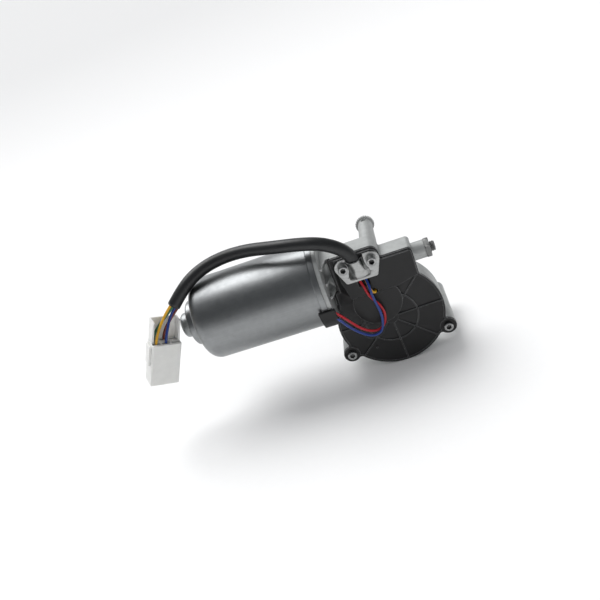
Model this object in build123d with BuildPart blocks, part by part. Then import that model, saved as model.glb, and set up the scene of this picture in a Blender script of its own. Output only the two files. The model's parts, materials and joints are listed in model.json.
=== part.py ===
"""Wiper motor: a permanent-magnet motor with a worm gearbox, a parking switch and a sleeved lead.

X runs along the armature, towards the adjusting screw. Y runs along the output shaft, away from
the gear cover. Z is up. The origin is on the output shaft's axis, in the plane of the three
mounting faces. All sizes are in millimetres.
"""

import math
import os

from build123d import *

# --- Gear housing and cover ---------------------------------------------------------------
case_radius = 50.0
case_wall = 4.0
housing_depth = 23.0
housing_floor = 4.0
gasket_thickness = 0.5
cover_thickness = 2.5
pillar_height = 49.0
lug_inset = 3.0
lug_x = case_radius - lug_inset
lug_z = -27.2
lug_radius = 8.0
block_right = 36.5
block_top = 62.0
block_corner = 3.5
crown_left = -38.0
crown_right = 8.2
crown_top = 74.6
crown_corner = 7.6
shoulder_left = -42.5
shoulder_top = 41.5
lug_blend = 3.0

gusset_levels = (crown_top - 3.0, shoulder_top + 14.5, shoulder_top + 1.0)

back_y = -pillar_height
front_y = back_y - housing_depth
gasket_y = front_y - gasket_thickness
cover_y = gasket_y - cover_thickness
floor_y = back_y - housing_floor

# --- Mounting pillars ---------------------------------------------------------------------
top_pillar_x = 0.5
top_pillar_z = 65.1
pillar_base_radius = 7.8
top_pillar_tip_radius = 7.0
lug_pillar_tip_radius = 7.4
mount_hole_radius = 3.4
mount_hole_depth = 22.0
insert_radius = 5.2
insert_flange_radius = 9.4
insert_flange_thickness = 2.2
insert_teeth = 24
insert_tooth_depth = 0.7
lock_hole_radius = 2.4
lock_hole_offset = 6.0
gusset_thickness = 3.0
gusset_reach = 26.0
gusset_tip = 1.5
cover_gap = 0.5
collar_gap = 0.4
neck_low = 12.0
back_rib_angles = (-30.2, 30.0, 89.5, 150.0, 210.2, 270.0)
back_rib_rise = 18.0
back_rib_tip = 2.5

# --- Worm gear ----------------------------------------------------------------------------
wheel_teeth = 60
centre_distance = 50.0
worm_pitch_radius = 7.0
worm_depth = 14.0
wheel_width = 10.0
pressure_angle = 20.0
tooth_backlash = 0.45
worm_turns = 8
thread_embed = 0.2
worm_run_clearance = 0.77
passage_step = 1.5

wheel_pitch_radius = centre_distance - worm_pitch_radius
module = 2 * wheel_pitch_radius / wheel_teeth
worm_lead = math.pi * module
worm_length = worm_turns * worm_lead
lead_angle = math.degrees(math.atan2(worm_lead, 2 * math.pi * worm_pitch_radius))
worm_tip_radius = worm_pitch_radius + module
worm_root_radius = worm_pitch_radius - 1.25 * module
wheel_tip_radius = wheel_pitch_radius + module
wheel_root_radius = wheel_pitch_radius - 1.25 * module
worm_y = cover_y + worm_depth
worm_z = centre_distance
channel_radius = worm_tip_radius + worm_run_clearance
channel_left = -34.0
channel_right = 24.0
flank_slope = math.tan(math.radians(pressure_angle))
thread_half_tip = worm_lead / 4 - module * flank_slope
thread_half_root = worm_lead / 4 + (worm_pitch_radius - worm_root_radius + thread_embed) * flank_slope
wheel_back_y = worm_y + wheel_width / 2
wheel_front_y = worm_y - wheel_width / 2
wheel_twist = math.degrees(wheel_width * math.tan(math.radians(lead_angle)) / wheel_pitch_radius)

# --- Output shaft -------------------------------------------------------------------------
shaft_radius = 7.0
shaft_plain_end = 10.0
shaft_head = 1.0
shaft_end_chamfer = 1.0
shaft_cone_length = 12.0
shaft_cone_tip_radius = 5.6
shaft_thread_radius = 5.0
shaft_thread_length = 14.0
shaft_serrations = 24
serration_depth = 0.5
boss_base_radius = 18.0
boss_tip_radius = 14.0
boss_setback = 10.0
boss_inner_radius = 12.0
boss_inner_rise = 4.0
bush_wall = 2.0
bush_length = 12.0
running_clearance = 0.04
end_play = 0.1
seal_radius = 10.6
seal_width = 4.0
seal_lip_rise = 1.6
seal_lip_width = 1.3
thrust_washer_radius = 10.8
thrust_washer_thickness = 1.0
circlip_radius = 9.0
circlip_thickness = 1.2
circlip_groove = 0.6
circlip_opening = 10.0
hub_radius = 11.0
hub_length = 9.0
web_thickness = 4.0
rim_thickness = 4.5
spoke_count = 8
spoke_width = 2.5
spoke_height = 3.0
collar_relief = 0.4
park_disc_inner = 14.0
park_disc_outer = 31.0
park_disc_thickness = 0.5
park_gap_angle = 40.0
contact_base_x = -6.0
contact_base_z = 33.0
contact_base_width = 16.0
contact_base_depth = 8.0
contact_base_height = 2.0
contact_width = 2.4
contact_thickness = 0.4
contact_gap = 0.15
contact_heel = 3.0
park_contact_tips = [(-11.2, 16.0), (-7.2, 20.5), (-3.2, 25.0)]

boss_end_y = -boss_setback
boss_inner_y = floor_y - boss_inner_rise
bush_radius = shaft_radius + bush_wall
seal_y = boss_end_y - seal_width
hub_back_y = boss_inner_y - end_play - thrust_washer_thickness
shaft_front_y = hub_back_y - hub_length - shaft_head
circlip_y = boss_end_y + end_play + thrust_washer_thickness
cone_end_y = shaft_plain_end + shaft_cone_length
park_disc_mid = (park_disc_inner + park_disc_outer) / 2
contact_tip_y = wheel_front_y - park_disc_thickness - contact_gap
contact_root_y = gasket_y + contact_base_height

# --- Motor --------------------------------------------------------------------------------
can_radius = 39.5
can_wall = 2.0
can_open_x = -48.2
can_end_x = -171.0
can_shoulder = 11.0
can_corner = 2.5
collar_rise = 1.9
collar_radius = can_radius + collar_rise
collar_width = 5.3
end_boss_radius = 22.0
end_boss_height = 9.0
end_dome_radius = 12.0
end_dome_height = 10.0
flange_step = 0.4
flange_radius = collar_radius - flange_step
flange_thickness = 4.0
spigot_length = 5.8
spigot_wall = 4.0
bearing_radius = 13.0
bearing_width = 8.0
bearing_ring = 2.4
ball_count = 8
ball_gap = 0.05
bearing_hub_wall = 3.0
armature_radius = 28.0
armature_length = 56.0
armature_left = -140.0
slot_count = 12
slot_depth = 13.0
slot_opening = 2.4
slot_lip = 2.0
slot_inner_width = 3.0
slot_outer_width = 8.6
end_turn_length = 10.0
end_turn_radius = 25.5
end_turn_round = 3.0
motor_shaft_radius = 5.0
journal_radius = 4.0
rear_bush_length = 8.0
commutator_radius = 13.0
commutator_left = -72.0
commutator_length = 15.0
commutator_bars = 24
commutator_groove = 0.7
riser_height = 1.5
riser_width = 2.0
magnet_gap = 1.2
magnet_overhang = 5.0
magnet_angle = 128.0
clip_thickness = 1.2
brush_plate_thickness = 2.0
brush_plate_clearance = 1.5
brush_plate_bore = 2.0
brush_width = 5.0
brush_breadth = 8.0
brush_length = 11.0
brush_box_wall = 1.0
brush_box_start = 15.5
brush_box_end = 31.0
brush_gap = 0.15
brush_angles = (15.0, 135.0, 255.0)
spring_radius = 2.0
spring_wire = 0.5
spring_turns = 4

can_inner = can_radius - can_wall
can_left_x = can_end_x - end_boss_height - end_dome_height
flange_right_x = can_open_x + flange_thickness
bearing_left_x = can_open_x - spigot_length
bearing_right_x = bearing_left_x + bearing_width
brush_plate_x = bearing_left_x - brush_plate_thickness
brush_x = brush_plate_x - brush_box_wall - brush_breadth / 2
can_boss_x = can_end_x - end_boss_height
rear_bush_x = can_left_x + can_wall + can_corner
rear_journal_x = rear_bush_x + 1
rear_step_x = rear_bush_x + rear_bush_length + end_play
magnet_left = armature_left - magnet_overhang
magnet_length = armature_length + 2 * magnet_overhang
slot_bottom = armature_radius - slot_lip - slot_depth
slot_top = armature_radius - slot_lip
slot_corners = [
    (slot_bottom, -slot_inner_width / 2),
    (slot_top, -slot_outer_width / 2),
    (slot_top, slot_outer_width / 2),
    (slot_bottom, slot_inner_width / 2),
]

# --- End play adjuster --------------------------------------------------------------------
adjuster_boss_radius = 8.3
adjuster_boss_length = 11.5
adjuster_radius = 5.0
adjuster_end = 57.0
adjuster_socket = 5.0
lock_nut_width = 17.0
lock_nut_height = 4.6
end_bush_length = 9.0
thrust_pad_length = 2.6

adjuster_boss_x = block_right + adjuster_boss_length
end_bush_end_x = channel_right + end_bush_length
journal_end_x = end_bush_end_x - thrust_pad_length - 2 * end_play

# --- Screws -------------------------------------------------------------------------------
screw_radius = 2.5
screw_head_radius = 4.3
cover_screw_head = 3.2
clamp_screw_head = 5.0
screw_reach = 14.0
screw_tip_gap = 1.0
screw_head_round = 0.5
socket_width = 4.0
socket_depth = 2.2
washer_radius = 5.0
washer_thickness = 1.0

# --- Cover relief -------------------------------------------------------------------------
rim_width = 2.2
rim_height = 0.9
rib_width = 1.5
rib_height = 1.4
rib_ring_radius = 25.0
cover_hub_radius = 6.5
rib_angles = (2.0, 46.0, 180.0, 222.0, 273.0, 317.0)
switch_x = -7.0
switch_z = 20.0
switch_radius = 22.6
switch_height = 2.4
gate_x = -20.0
gate_z = -6.0
gate_radius = 11.2
gate_height = 1.3
plateau_left = -32.0
plateau_slant = 3.8
plateau_bottom = 31.0
plateau_height = 3.0
plateau_edge = 1.0
wire_hole_x = -6.0
wire_hole_z = 32.6
wire_hole_radius = 3.0
pip_x = -22.2
pip_z = -27.5
pip_radius = 1.2
pip_height = 1.4

panel_y = cover_y + rim_height
rib_reach = case_radius - rim_width / 2
plateau_y = cover_y - plateau_height

# --- Cable clamp --------------------------------------------------------------------------
clamp_thickness = 2.0
clamp_left_x = -25.8
clamp_corner_radius = 7.4
clamp_foot_left = -25.6
clamp_foot_right = 0.5
clamp_foot_z = 50.1
clamp_foot_radius = 2.0
clamp_top_z = 70.5
strip_top_z = 54.0
saddle_x = -13.2
saddle_wall = 1.4
saddle_clearance = 0.15
relief_length = 3.5
relief_height = 2.5
channel_x = -12.5
channel_width = 11.0
channel_floor_y = -73.6
channel_ramp_z = 49.0
channel_end_z = 38.5

# --- Sleeve, leads and cores --------------------------------------------------------------
sleeve_diameter = 12.0
sleeve_sink = 4.2
core_diameter = 2.5
lead_diameter = 2.4

core_spacing = 2.7
core_rise = 1.2
core_lead_out = 10.0
core_lead_in = 9.0

sleeve_y = plateau_y + sleeve_sink - sleeve_diameter / 2
saddle_outer = sleeve_diameter / 2 + saddle_clearance + saddle_wall
clamp_y = plateau_y - clamp_thickness
washer_y = clamp_y - washer_thickness
sleeve_points = [
    (saddle_x, sleeve_y, strip_top_z),
    (saddle_x, sleeve_y, 66.0),
    (-17.2, -79.8, 78.4),
    (-25.1, -79.5, 89.3),
    (-37.1, -78.6, 97.4),
    (-53.4, -77.5, 101.8),
    (-79.2, -71.5, 103.2),
    (-104.0, -64.0, 102.8),
    (-128.3, -62.4, 101.4),
    (-150.2, -67.4, 98.2),
    (-167.5, -75.0, 92.2),
    (-183.8, -76.5, 80.7),
]
lead_row_y = sleeve_y + sleeve_sink - 0.4
red_points = [
    (-44.6, -102.2, 38.3),
    (-41.5, -98.5, 32.0),
    (-36.6, -93.2, 21.0),
    (-29.5, -88.2, 6.5),
    (-21.5, -85.0, -2.4),
    (-12.8, -83.4, -4.6),
    (-6.3, -82.2, 0.9),
    (-3.9, -81.5, 9.3),
    (-5.2, -81.0, 18.2),
    (-9.6, -80.4, 25.7),
    (-12.9, -79.8, 33.2),
    (-13.4, -79.3, 39.8),
    (-15.2, -77.9, 44.9),
    (-15.9, -76.1, 49.6),
    (-15.8, lead_row_y, strip_top_z),
]
blue_points = [
    (-44.6, -99.6, 31.0),
    (-41.8, -97.6, 24.5),
    (-37.2, -93.6, 13.5),
    (-30.2, -89.8, 2.0),
    (-20.8, -87.8, -6.3),
    (-11.9, -86.4, -5.4),
    (-7.9, -85.2, 3.0),
    (-6.9, -84.2, 13.2),
    (-8.3, -83.4, 23.2),
    (-9.1, -82.7, 31.4),
    (-8.9, -82.3, 38.0),
    (-9.3, -79.4, 43.6),
    (-10.4, -76.2, 48.6),
    (-10.6, lead_row_y, strip_top_z),
]
yellow_points = [
    (-5.6, gasket_y, 31.4),
    (-5.6, -75.9, 31.6),
    (-5.9, -78.6, 32.9),
    (-7.4, -79.8, 35.6),
    (-9.9, -79.3, 38.9),
    (-11.9, -78.6, 42.8),
    (-13.0, -76.3, 48.2),
    (-13.2, lead_row_y, strip_top_z),
]

# --- Lead outlet at the seam --------------------------------------------------------------
outlet_start_angle = 12.0
outlet_end_angle = 43.0
outlet_thickness = 3.0
outlet_left_x = -57.5
outlet_right_x = -42.5
outlet_neck_start = 18.0
outlet_neck_end = 37.0

# --- Connector ----------------------------------------------------------------------------
connector_width = 28.0
connector_depth = 17.0
connector_length = 43.0
connector_back_height = 22.0
connector_wall = 1.5
connector_column = 9.3
connector_row = 7.6
cavity_width = 7.2
cavity_depth = 3.4
blade_width = 6.3
blade_depth = 2.4
blade_length = 24.0
terminal_start = 16.0
shield_width = 26.0
shield_depth = 12.0
latch_start = 2.0
latch_width = 10.0
latch_height = 2.0
latch_length = 20.0
connector_origin = Vector(-204.5, -85.5, 53.8)
connector_down = Vector(-0.473, -0.054, -0.880)
connector_across = Vector(0.7625, 0.474, -0.440)
cavity_use = {"core_yellow": (-1, 1), "core_green": (-1, -1), "core_blue": (0, 1), "core_brown": (0, -1)}

os.makedirs("parts", exist_ok=True)

worm_axis = Axis((0, worm_y, worm_z), (1, 0, 0))
worm_plane = Plane((0, worm_y, worm_z), x_dir=(1, 0, 0), z_dir=(0, -1, 0))
shaft_plane = Plane.YZ
lug_centres = [(-lug_x, lug_z), (lug_x, lug_z)]
top_pillar = (top_pillar_x, top_pillar_z)
clamp_screw_centres = [(clamp_left_x, top_pillar_z), top_pillar]
connector_plane = Plane(connector_origin, x_dir=connector_across, z_dir=connector_down)


def plane_at(y):
    """A sketch plane at depth y whose axes are X and Z. A negative amount extrudes along +Y."""
    return Plane.XZ.offset(-y)


def motor_plane(x):
    """A sketch plane across the armature, centred on it. Its axes are Y and Z."""
    return Plane((x, worm_y, worm_z), x_dir=(0, 1, 0), z_dir=(1, 0, 0))


def section(plane, *outline):
    """A closed outline of straight runs, for a turned piece."""
    with BuildSketch(plane) as profile:
        with BuildLine():
            Polyline(*outline, close=True)
        make_face()
    return profile.sketch


def ring(plane, outer, inner):
    with BuildSketch(plane) as profile:
        Circle(outer)
        Circle(inner, mode=Mode.SUBTRACT)
    return profile.sketch


def sector(plane, outer, inner, start, end):
    """Part of a ring, from one angle to another."""
    with BuildSketch(plane) as profile:
        with BuildLine():
            outer_arc = CenterArc((0, 0), outer, start, end - start)
            inner_arc = CenterArc((0, 0), inner, start, end - start)
            Line(outer_arc @ 0, inner_arc @ 0)
            Line(outer_arc @ 1, inner_arc @ 1)
        make_face()
    return profile.sketch


def hexagon(plane, width):
    with BuildSketch(plane) as profile:
        RegularPolygon(width / 2, 6, major_radius=False)
    return profile.sketch


def off_lug(corner, centre):
    """How far a corner lies from the edge of a lug."""
    return abs(math.dist((corner.X, corner.Y), centre) - lug_radius)


def case_profile(inset=0.0):
    """The outline that the housing, the gasket and the cover share, in X and Z."""
    with BuildSketch() as outline:
        Circle(case_radius)
        with Locations(*lug_centres):
            Circle(lug_radius)
        with Locations(((crown_left + crown_right) / 2, crown_top / 2)):
            Rectangle(crown_right - crown_left, crown_top)
        with Locations((block_right / 2, block_top / 2)):
            Rectangle(block_right, block_top)
        with Locations((shoulder_left / 2, shoulder_top / 2)):
            Rectangle(-shoulder_left, shoulder_top)
        corners = outline.vertices()
        fillet(corners.sort_by_distance((crown_right, crown_top))[0], crown_corner)
        fillet(outline.vertices().sort_by_distance((crown_left, crown_top))[0], block_corner)
        fillet(outline.vertices().sort_by_distance((block_right, block_top))[0], block_corner)
        fillet(outline.vertices().sort_by_distance((crown_right, block_top))[0], block_corner / 2)
        for centre in lug_centres:
            by_lug = sorted(outline.vertices(), key=lambda corner: off_lug(corner, centre))
            fillet(by_lug[0:2], lug_blend)
        if inset:
            offset(amount=-inset, kind=Kind.INTERSECTION)
    return outline.sketch_local


def case_outline(y, inset=0.0):
    with BuildSketch(plane_at(y)) as outline:
        add(case_profile(inset))
    return outline.sketch


def cavity_outline(y):
    """The open inside of the gearbox: the wheel's bowl and the worm's channel."""
    with BuildSketch(plane_at(y)) as cavity:
        Circle(case_radius - case_wall)
        with Locations(((channel_left + channel_right) / 2, worm_z)):
            Rectangle(channel_right - channel_left, 2 * channel_radius)
    return cavity.sketch


def outward(y, x, z):
    """A place on the cover's side, facing out of the cover."""
    return Plane((x, y, z), z_dir=(0, -1, 0))


def inward(y, x, z):
    """A place on the mounting side, facing along +Y."""
    return Plane((x, y, z), z_dir=(0, 1, 0))


def rod(radius, length, mode=Mode.ADD):
    """A cylinder that stands on its place."""
    return Cylinder(radius, length, align=(Align.CENTER, Align.CENTER, Align.MIN), mode=mode)


def taper(base, tip, length):
    """A cone that stands on its place."""
    return Cone(base, tip, length, align=(Align.CENTER, Align.CENTER, Align.MIN))


def wheel_outline(y, turn):
    """The worm wheel's toothed outline, turned about the shaft by some degrees."""
    half_pitch_width = (math.pi * module / 2 - tooth_backlash) / 2
    half_tip = half_pitch_width - module * flank_slope
    half_root = half_pitch_width + 1.25 * module * flank_slope
    with BuildSketch(plane_at(y)) as outline:
        Circle(wheel_root_radius)
        with PolarLocations(0, wheel_teeth, start_angle=90 + turn):
            with BuildLine():
                Polyline(
                    (wheel_root_radius - 0.5, -half_root),
                    (wheel_tip_radius, -half_tip),
                    (wheel_tip_radius, half_tip),
                    (wheel_root_radius - 0.5, half_root),
                    close=True,
                )
            make_face()
    return outline.sketch


def serrated_outline(y, radius):
    """A ring of sharp teeth whose tips lie on the radius."""
    half_pitch = math.pi / shaft_serrations
    corners = []
    for number in range(2 * shaft_serrations):
        reach = radius - serration_depth * (number % 2)
        corners.append((reach * math.cos(number * half_pitch), reach * math.sin(number * half_pitch)))
    return section(plane_at(y), *corners)


def bend_radii(name, points):
    """The radius at each inner point of a cord's route, as large as its two runs allow."""
    radii = []
    for before, corner, after in zip(points, points[1:], points[2:]):
        arriving = Vector(*corner) - Vector(*before)
        leaving = Vector(*after) - Vector(*corner)
        half_turn = math.radians(arriving.get_angle(leaving)) / 2
        radii.append(0.45 * min(arriving.length, leaving.length) / math.tan(half_turn))
    print(name, "bend radii", [round(radius, 1) for radius in radii])
    return radii


# --- Rooms cut from more than one piece ---------------------------------------------------
# The motor can's collar.
with BuildPart() as collar_room:
    with Locations(motor_plane(can_open_x - 2 * collar_width)):
        rod(collar_radius + collar_gap, 2 * collar_width)

# The collar and the flange.
with BuildPart() as flange_room:
    with Locations(motor_plane(can_open_x - 2 * collar_width)):
        rod(collar_radius + collar_gap, 2 * collar_width + flange_thickness + collar_gap)

# The armature's line: bearing pocket, passage, worm channel, end bush and adjuster thread.
with BuildPart() as armature_room:
    revolve(
        section(
            worm_plane,
            (bearing_left_x - 1, 0),
            (bearing_left_x - 1, bearing_radius),
            (bearing_right_x, bearing_radius),
            (bearing_right_x, channel_radius - passage_step),
            (channel_left, channel_radius - passage_step),
            (channel_left, channel_radius),
            (channel_right, channel_radius),
            (channel_right, journal_radius + bush_wall),
            (end_bush_end_x, journal_radius + bush_wall),
            (end_bush_end_x, adjuster_radius),
            (adjuster_boss_x + 1, adjuster_radius),
            (adjuster_boss_x + 1, 0),
        ),
        axis=worm_axis,
    )

# --- Gear housing -------------------------------------------------------------------------
with BuildPart() as gear_housing:
    extrude(case_outline(front_y), amount=-housing_depth)
    add(collar_room.part, mode=Mode.SUBTRACT)
    # The end play boss and the output boss.
    with Locations(motor_plane(block_right)):
        rod(adjuster_boss_radius, adjuster_boss_length)
    with Locations(inward(back_y, 0, 0)):
        taper(boss_base_radius, boss_tip_radius, boss_end_y - back_y)
    # Ribs on the back, from the boss towards the pillars and the rim.
    for angle in back_rib_angles:
        with BuildSketch(Plane.XY.rotated((0, -angle, 0))):
            with BuildLine():
                Polyline(
                    (boss_tip_radius - 1, back_y + back_rib_rise),
                    (case_radius - case_wall, back_y + back_rib_tip),
                    (case_radius - case_wall, back_y - 1),
                    (boss_tip_radius - 1, back_y - 1),
                    close=True,
                )
            make_face()
        extrude(amount=gusset_thickness / 2, both=True)
    extrude(cavity_outline(front_y), amount=-(housing_depth - housing_floor), mode=Mode.SUBTRACT)
    with Locations(outward(floor_y, 0, 0)):
        rod(boss_inner_radius, boss_inner_rise)
    revolve(
        section(
            shaft_plane,
            (boss_inner_y - 1, 0),
            (boss_inner_y - 1, bush_radius),
            (seal_y, bush_radius),
            (seal_y, seal_radius),
            (boss_end_y + 1, seal_radius),
            (boss_end_y + 1, 0),
        ),
        axis=Axis.Y,
        mode=Mode.SUBTRACT,
    )
    add(armature_room.part, mode=Mode.SUBTRACT)
    # Threaded holes for the cover screws and the clamp screws.
    for x, z in lug_centres + clamp_screw_centres:
        with Locations(outward(front_y, x, z)):
            Hole(screw_radius, depth=screw_reach)
gear_housing.part.label = "gear_housing"
export_step(gear_housing.part, "parts/gear_housing.step")

# --- Motor flange -------------------------------------------------------------------------
with BuildPart() as motor_flange:
    with Locations(motor_plane(can_open_x)):
        rod(flange_radius, flange_thickness)
    # The spigot centres the can, and the hub holds the bearing.
    extrude(ring(motor_plane(can_open_x), can_inner, can_inner - spigot_wall), amount=-spigot_length)
    hub_outline = ring(motor_plane(can_open_x), bearing_radius + bearing_hub_wall, bearing_radius)
    extrude(hub_outline, amount=-spigot_length)
    # Two necks join the flange to the case, the lower one to its shoulder.
    for low, high in ((neck_low, shoulder_top), (shoulder_top, crown_top)):
        with BuildSketch(Plane.YZ.offset(flange_right_x)):
            with Locations(((front_y + back_y) / 2, (low + high) / 2)):
                Rectangle(housing_depth, high - low)
        extrude(amount=crown_left + block_corner - flange_right_x)
    # Gussets on the cover's side.
    for rib_z in gusset_levels:
        with BuildSketch(Plane.XY.offset(rib_z)):
            with BuildLine():
                Polyline(
                    (flange_right_x - 1, worm_y - gusset_reach),
                    (flange_right_x + gusset_tip, worm_y - gusset_reach),
                    (crown_left - cover_gap, front_y),
                    (crown_left - cover_gap, front_y + 1),
                    (flange_right_x - 1, front_y + 1),
                    close=True,
                )
            make_face()
        extrude(amount=gusset_thickness)
    extrude(case_outline(front_y), amount=-housing_depth, mode=Mode.SUBTRACT)
    add(armature_room.part, mode=Mode.SUBTRACT)
    # A notch for the lead outlet.
    extrude(
        sector(
            motor_plane(can_open_x),
            flange_radius + 1,
            can_inner,
            180 + outlet_neck_start,
            180 + outlet_neck_end,
        ),
        amount=flange_thickness,
        mode=Mode.SUBTRACT,
    )
motor_flange.part.label = "motor_flange"
export_step(motor_flange.part, "parts/motor_flange.step")

# --- Mounting pillars ---------------------------------------------------------------------
with BuildPart() as mounting_pillars:
    for x, z in lug_centres:
        with Locations(inward(back_y, x, z)):
            taper(pillar_base_radius, lug_pillar_tip_radius, pillar_height)
    with Locations(inward(back_y, *top_pillar)):
        taper(pillar_base_radius, top_pillar_tip_radius, pillar_height - insert_flange_thickness)
    for x, z in lug_centres:
        with Locations(inward(0, x, z)):
            Hole(mount_hole_radius, depth=mount_hole_depth)
    with Locations(inward(-insert_flange_thickness, *top_pillar)):
        Hole(insert_radius, depth=mount_hole_depth)
    # A cross hole shows how deep the top bolt sits.
    with Locations((top_pillar_x, -lock_hole_offset, top_pillar_z)):
        rod(lock_hole_radius, 2 * pillar_base_radius, Mode.SUBTRACT)
mounting_pillars.part.label = "mounting_pillars"
export_step(mounting_pillars.part, "parts/mounting_pillars.step")

# --- Case gasket --------------------------------------------------------------------------
with BuildPart() as case_gasket:
    extrude(case_outline(gasket_y), amount=-gasket_thickness)
    extrude(cavity_outline(gasket_y), amount=-gasket_thickness, mode=Mode.SUBTRACT)
    add(flange_room.part, mode=Mode.SUBTRACT)
    for x, z in lug_centres + clamp_screw_centres:
        with Locations(outward(front_y, x, z)):
            Hole(screw_radius, depth=gasket_thickness)
case_gasket.part.label = "case_gasket"
export_step(case_gasket.part, "parts/case_gasket.step")

# --- Room for the sleeve, cut from the cover and the clamp --------------------------------
with BuildPart() as sleeve_bed:
    with BuildLine():
        bed_route = FilletPolyline(*sleeve_points[:5], radius=bend_radii("sleeve bed", sleeve_points[:5]))
    with BuildSketch(Plane(bed_route @ 0, z_dir=bed_route % 0)):
        Circle(sleeve_diameter / 2 + saddle_clearance)
    sweep(path=bed_route)

# --- Gear cover ---------------------------------------------------------------------------
with BuildPart() as gear_cover:
    extrude(case_outline(gasket_y), amount=cover_thickness - rim_height)
    # A raised rim follows the whole outline, and the lugs are raised with it.
    extrude(case_outline(panel_y), amount=rim_height)
    extrude(case_outline(panel_y, rim_width), amount=rim_height, mode=Mode.SUBTRACT)
    for x, z in lug_centres:
        with Locations(outward(panel_y, x, z)):
            rod(lug_radius, rim_height)
    # Ribs run from the hub, through a ring, to the rim.
    with BuildSketch(plane_at(panel_y)) as ribs:
        Circle(rib_ring_radius + rib_width / 2)
        Circle(rib_ring_radius - rib_width / 2, mode=Mode.SUBTRACT)
        Circle(cover_hub_radius)
        for angle in rib_angles:
            with PolarLocations(rib_reach / 2, 1, start_angle=angle):
                Rectangle(rib_reach, rib_width)
    extrude(amount=rib_height)
    add(flange_room.part, mode=Mode.SUBTRACT)
    # The parking switch's round housing, with its own cross rib, and the smaller disc beside it.
    for x, z, radius, height in (
        (switch_x, switch_z, switch_radius, switch_height),
        (gate_x, gate_z, gate_radius, gate_height),
        (pip_x, pip_z, pip_radius, pip_height),
    ):
        with Locations(outward(panel_y, x, z)):
            rod(radius, height)
    # The plateau over the worm carries the cable clamp.
    with BuildSketch(plane_at(panel_y)) as plateau_face:
        with BuildLine():
            Polyline(
                (plateau_left, crown_top),
                (plateau_left, clamp_foot_z),
                (plateau_left + plateau_slant, plateau_bottom),
                (switch_x + switch_radius, plateau_bottom),
                (block_right, block_right),
                (block_right, crown_top),
                close=True,
            )
        make_face()
        add(case_profile(plateau_edge), mode=Mode.INTERSECT)
    extrude(amount=plateau_height + rim_height)
    # The sleeve's bed, the ramped channel for the leads, and the switch lead's hole.
    add(sleeve_bed.part, mode=Mode.SUBTRACT)
    extrude(
        section(
            Plane.YZ.offset(channel_x - channel_width / 2),
            (plateau_y - 1, strip_top_z + 1),
            (channel_floor_y, strip_top_z + 1),
            (channel_floor_y, channel_ramp_z),
            (plateau_y - 1, channel_end_z),
        ),
        amount=channel_width,
        mode=Mode.SUBTRACT,
    )
    with Locations(outward(plateau_y, wire_hole_x, wire_hole_z)):
        Hole(wire_hole_radius, depth=plateau_height + cover_thickness)
    for x, z in lug_centres + clamp_screw_centres:
        with Locations(outward(plateau_y, x, z)):
            Hole(screw_radius, depth=plateau_height + cover_thickness)
gear_cover.part.label = "gear_cover"
export_step(gear_cover.part, "parts/gear_cover.step")

# --- Cover screws -------------------------------------------------------------------------
with BuildPart() as cover_screws:
    for x, z in lug_centres:
        with Locations(outward(cover_y, x, z)):
            rod(screw_head_radius, cover_screw_head)
        with Locations(inward(cover_y, x, z)):
            rod(screw_radius, front_y + screw_reach - screw_tip_gap - cover_y)
    chamfer(cover_screws.edges().group_by(Axis.Y)[0], screw_head_round)
    for x, z in lug_centres:
        with Locations(outward(cover_y - cover_screw_head, x, z)):
            add(extrude(hexagon(Plane.XY, socket_width), amount=-socket_depth, mode=Mode.PRIVATE),
                mode=Mode.SUBTRACT)
cover_screws.part.label = "cover_screws"
export_step(cover_screws.part, "parts/cover_screws.step")

# --- Cable clamp --------------------------------------------------------------------------
with BuildPart() as cable_clamp:
    with BuildSketch(plane_at(plateau_y)) as clamp_face:
        with Locations(*clamp_screw_centres):
            Circle(clamp_corner_radius)
        with Locations((clamp_foot_left, clamp_foot_z), (clamp_foot_right, clamp_foot_z)):
            Circle(clamp_foot_radius)
        make_hull()
        with Locations((saddle_x, clamp_top_z + clamp_corner_radius)):
            Rectangle(2 * saddle_outer, 2 * clamp_corner_radius, mode=Mode.SUBTRACT)
    extrude(amount=clamp_thickness)
    # The saddle arches over the sleeve.
    with BuildSketch(Plane.XY.offset(strip_top_z)) as saddle:
        with Locations((saddle_x, sleeve_y)):
            Circle(saddle_outer)
        with Locations((saddle_x, plateau_y - saddle_outer)):
            Rectangle(2 * saddle_outer, 2 * saddle_outer, mode=Mode.INTERSECT)
    extrude(amount=clamp_top_z - strip_top_z)
    with BuildSketch(Plane.XY.offset(strip_top_z)) as saddle_hollow:
        with Locations((saddle_x, sleeve_y)):
            Circle(saddle_outer - saddle_wall)
            Rectangle(2 * (saddle_outer - saddle_wall), 2 * saddle_outer)
        with Locations((saddle_x, sleeve_y + saddle_outer)):
            Rectangle(2 * saddle_outer, 2 * saddle_outer)
        with Locations((saddle_x, sleeve_y)):
            Circle(saddle_outer, mode=Mode.INTERSECT)
    extrude(amount=clamp_top_z - strip_top_z, mode=Mode.SUBTRACT)
    add(sleeve_bed.part, mode=Mode.SUBTRACT)
    # Relief cuts at the saddle's two lower corners.
    with BuildSketch(plane_at(plateau_y)):
        for side in (-1, 1):
            with BuildLine():
                Polyline(
                    (saddle_x + side * (saddle_outer - saddle_wall), strip_top_z),
                    (saddle_x + side * (saddle_outer + relief_length), strip_top_z),
                    (saddle_x + side * (saddle_outer - saddle_wall), strip_top_z + relief_height),
                    close=True,
                )
            make_face()
    extrude(amount=saddle_outer + sleeve_diameter, mode=Mode.SUBTRACT)
    for x, z in clamp_screw_centres:
        with Locations(outward(clamp_y, x, z)):
            Hole(screw_radius, depth=clamp_thickness)
cable_clamp.part.label = "cable_clamp"
export_step(cable_clamp.part, "parts/cable_clamp.step")

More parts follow.
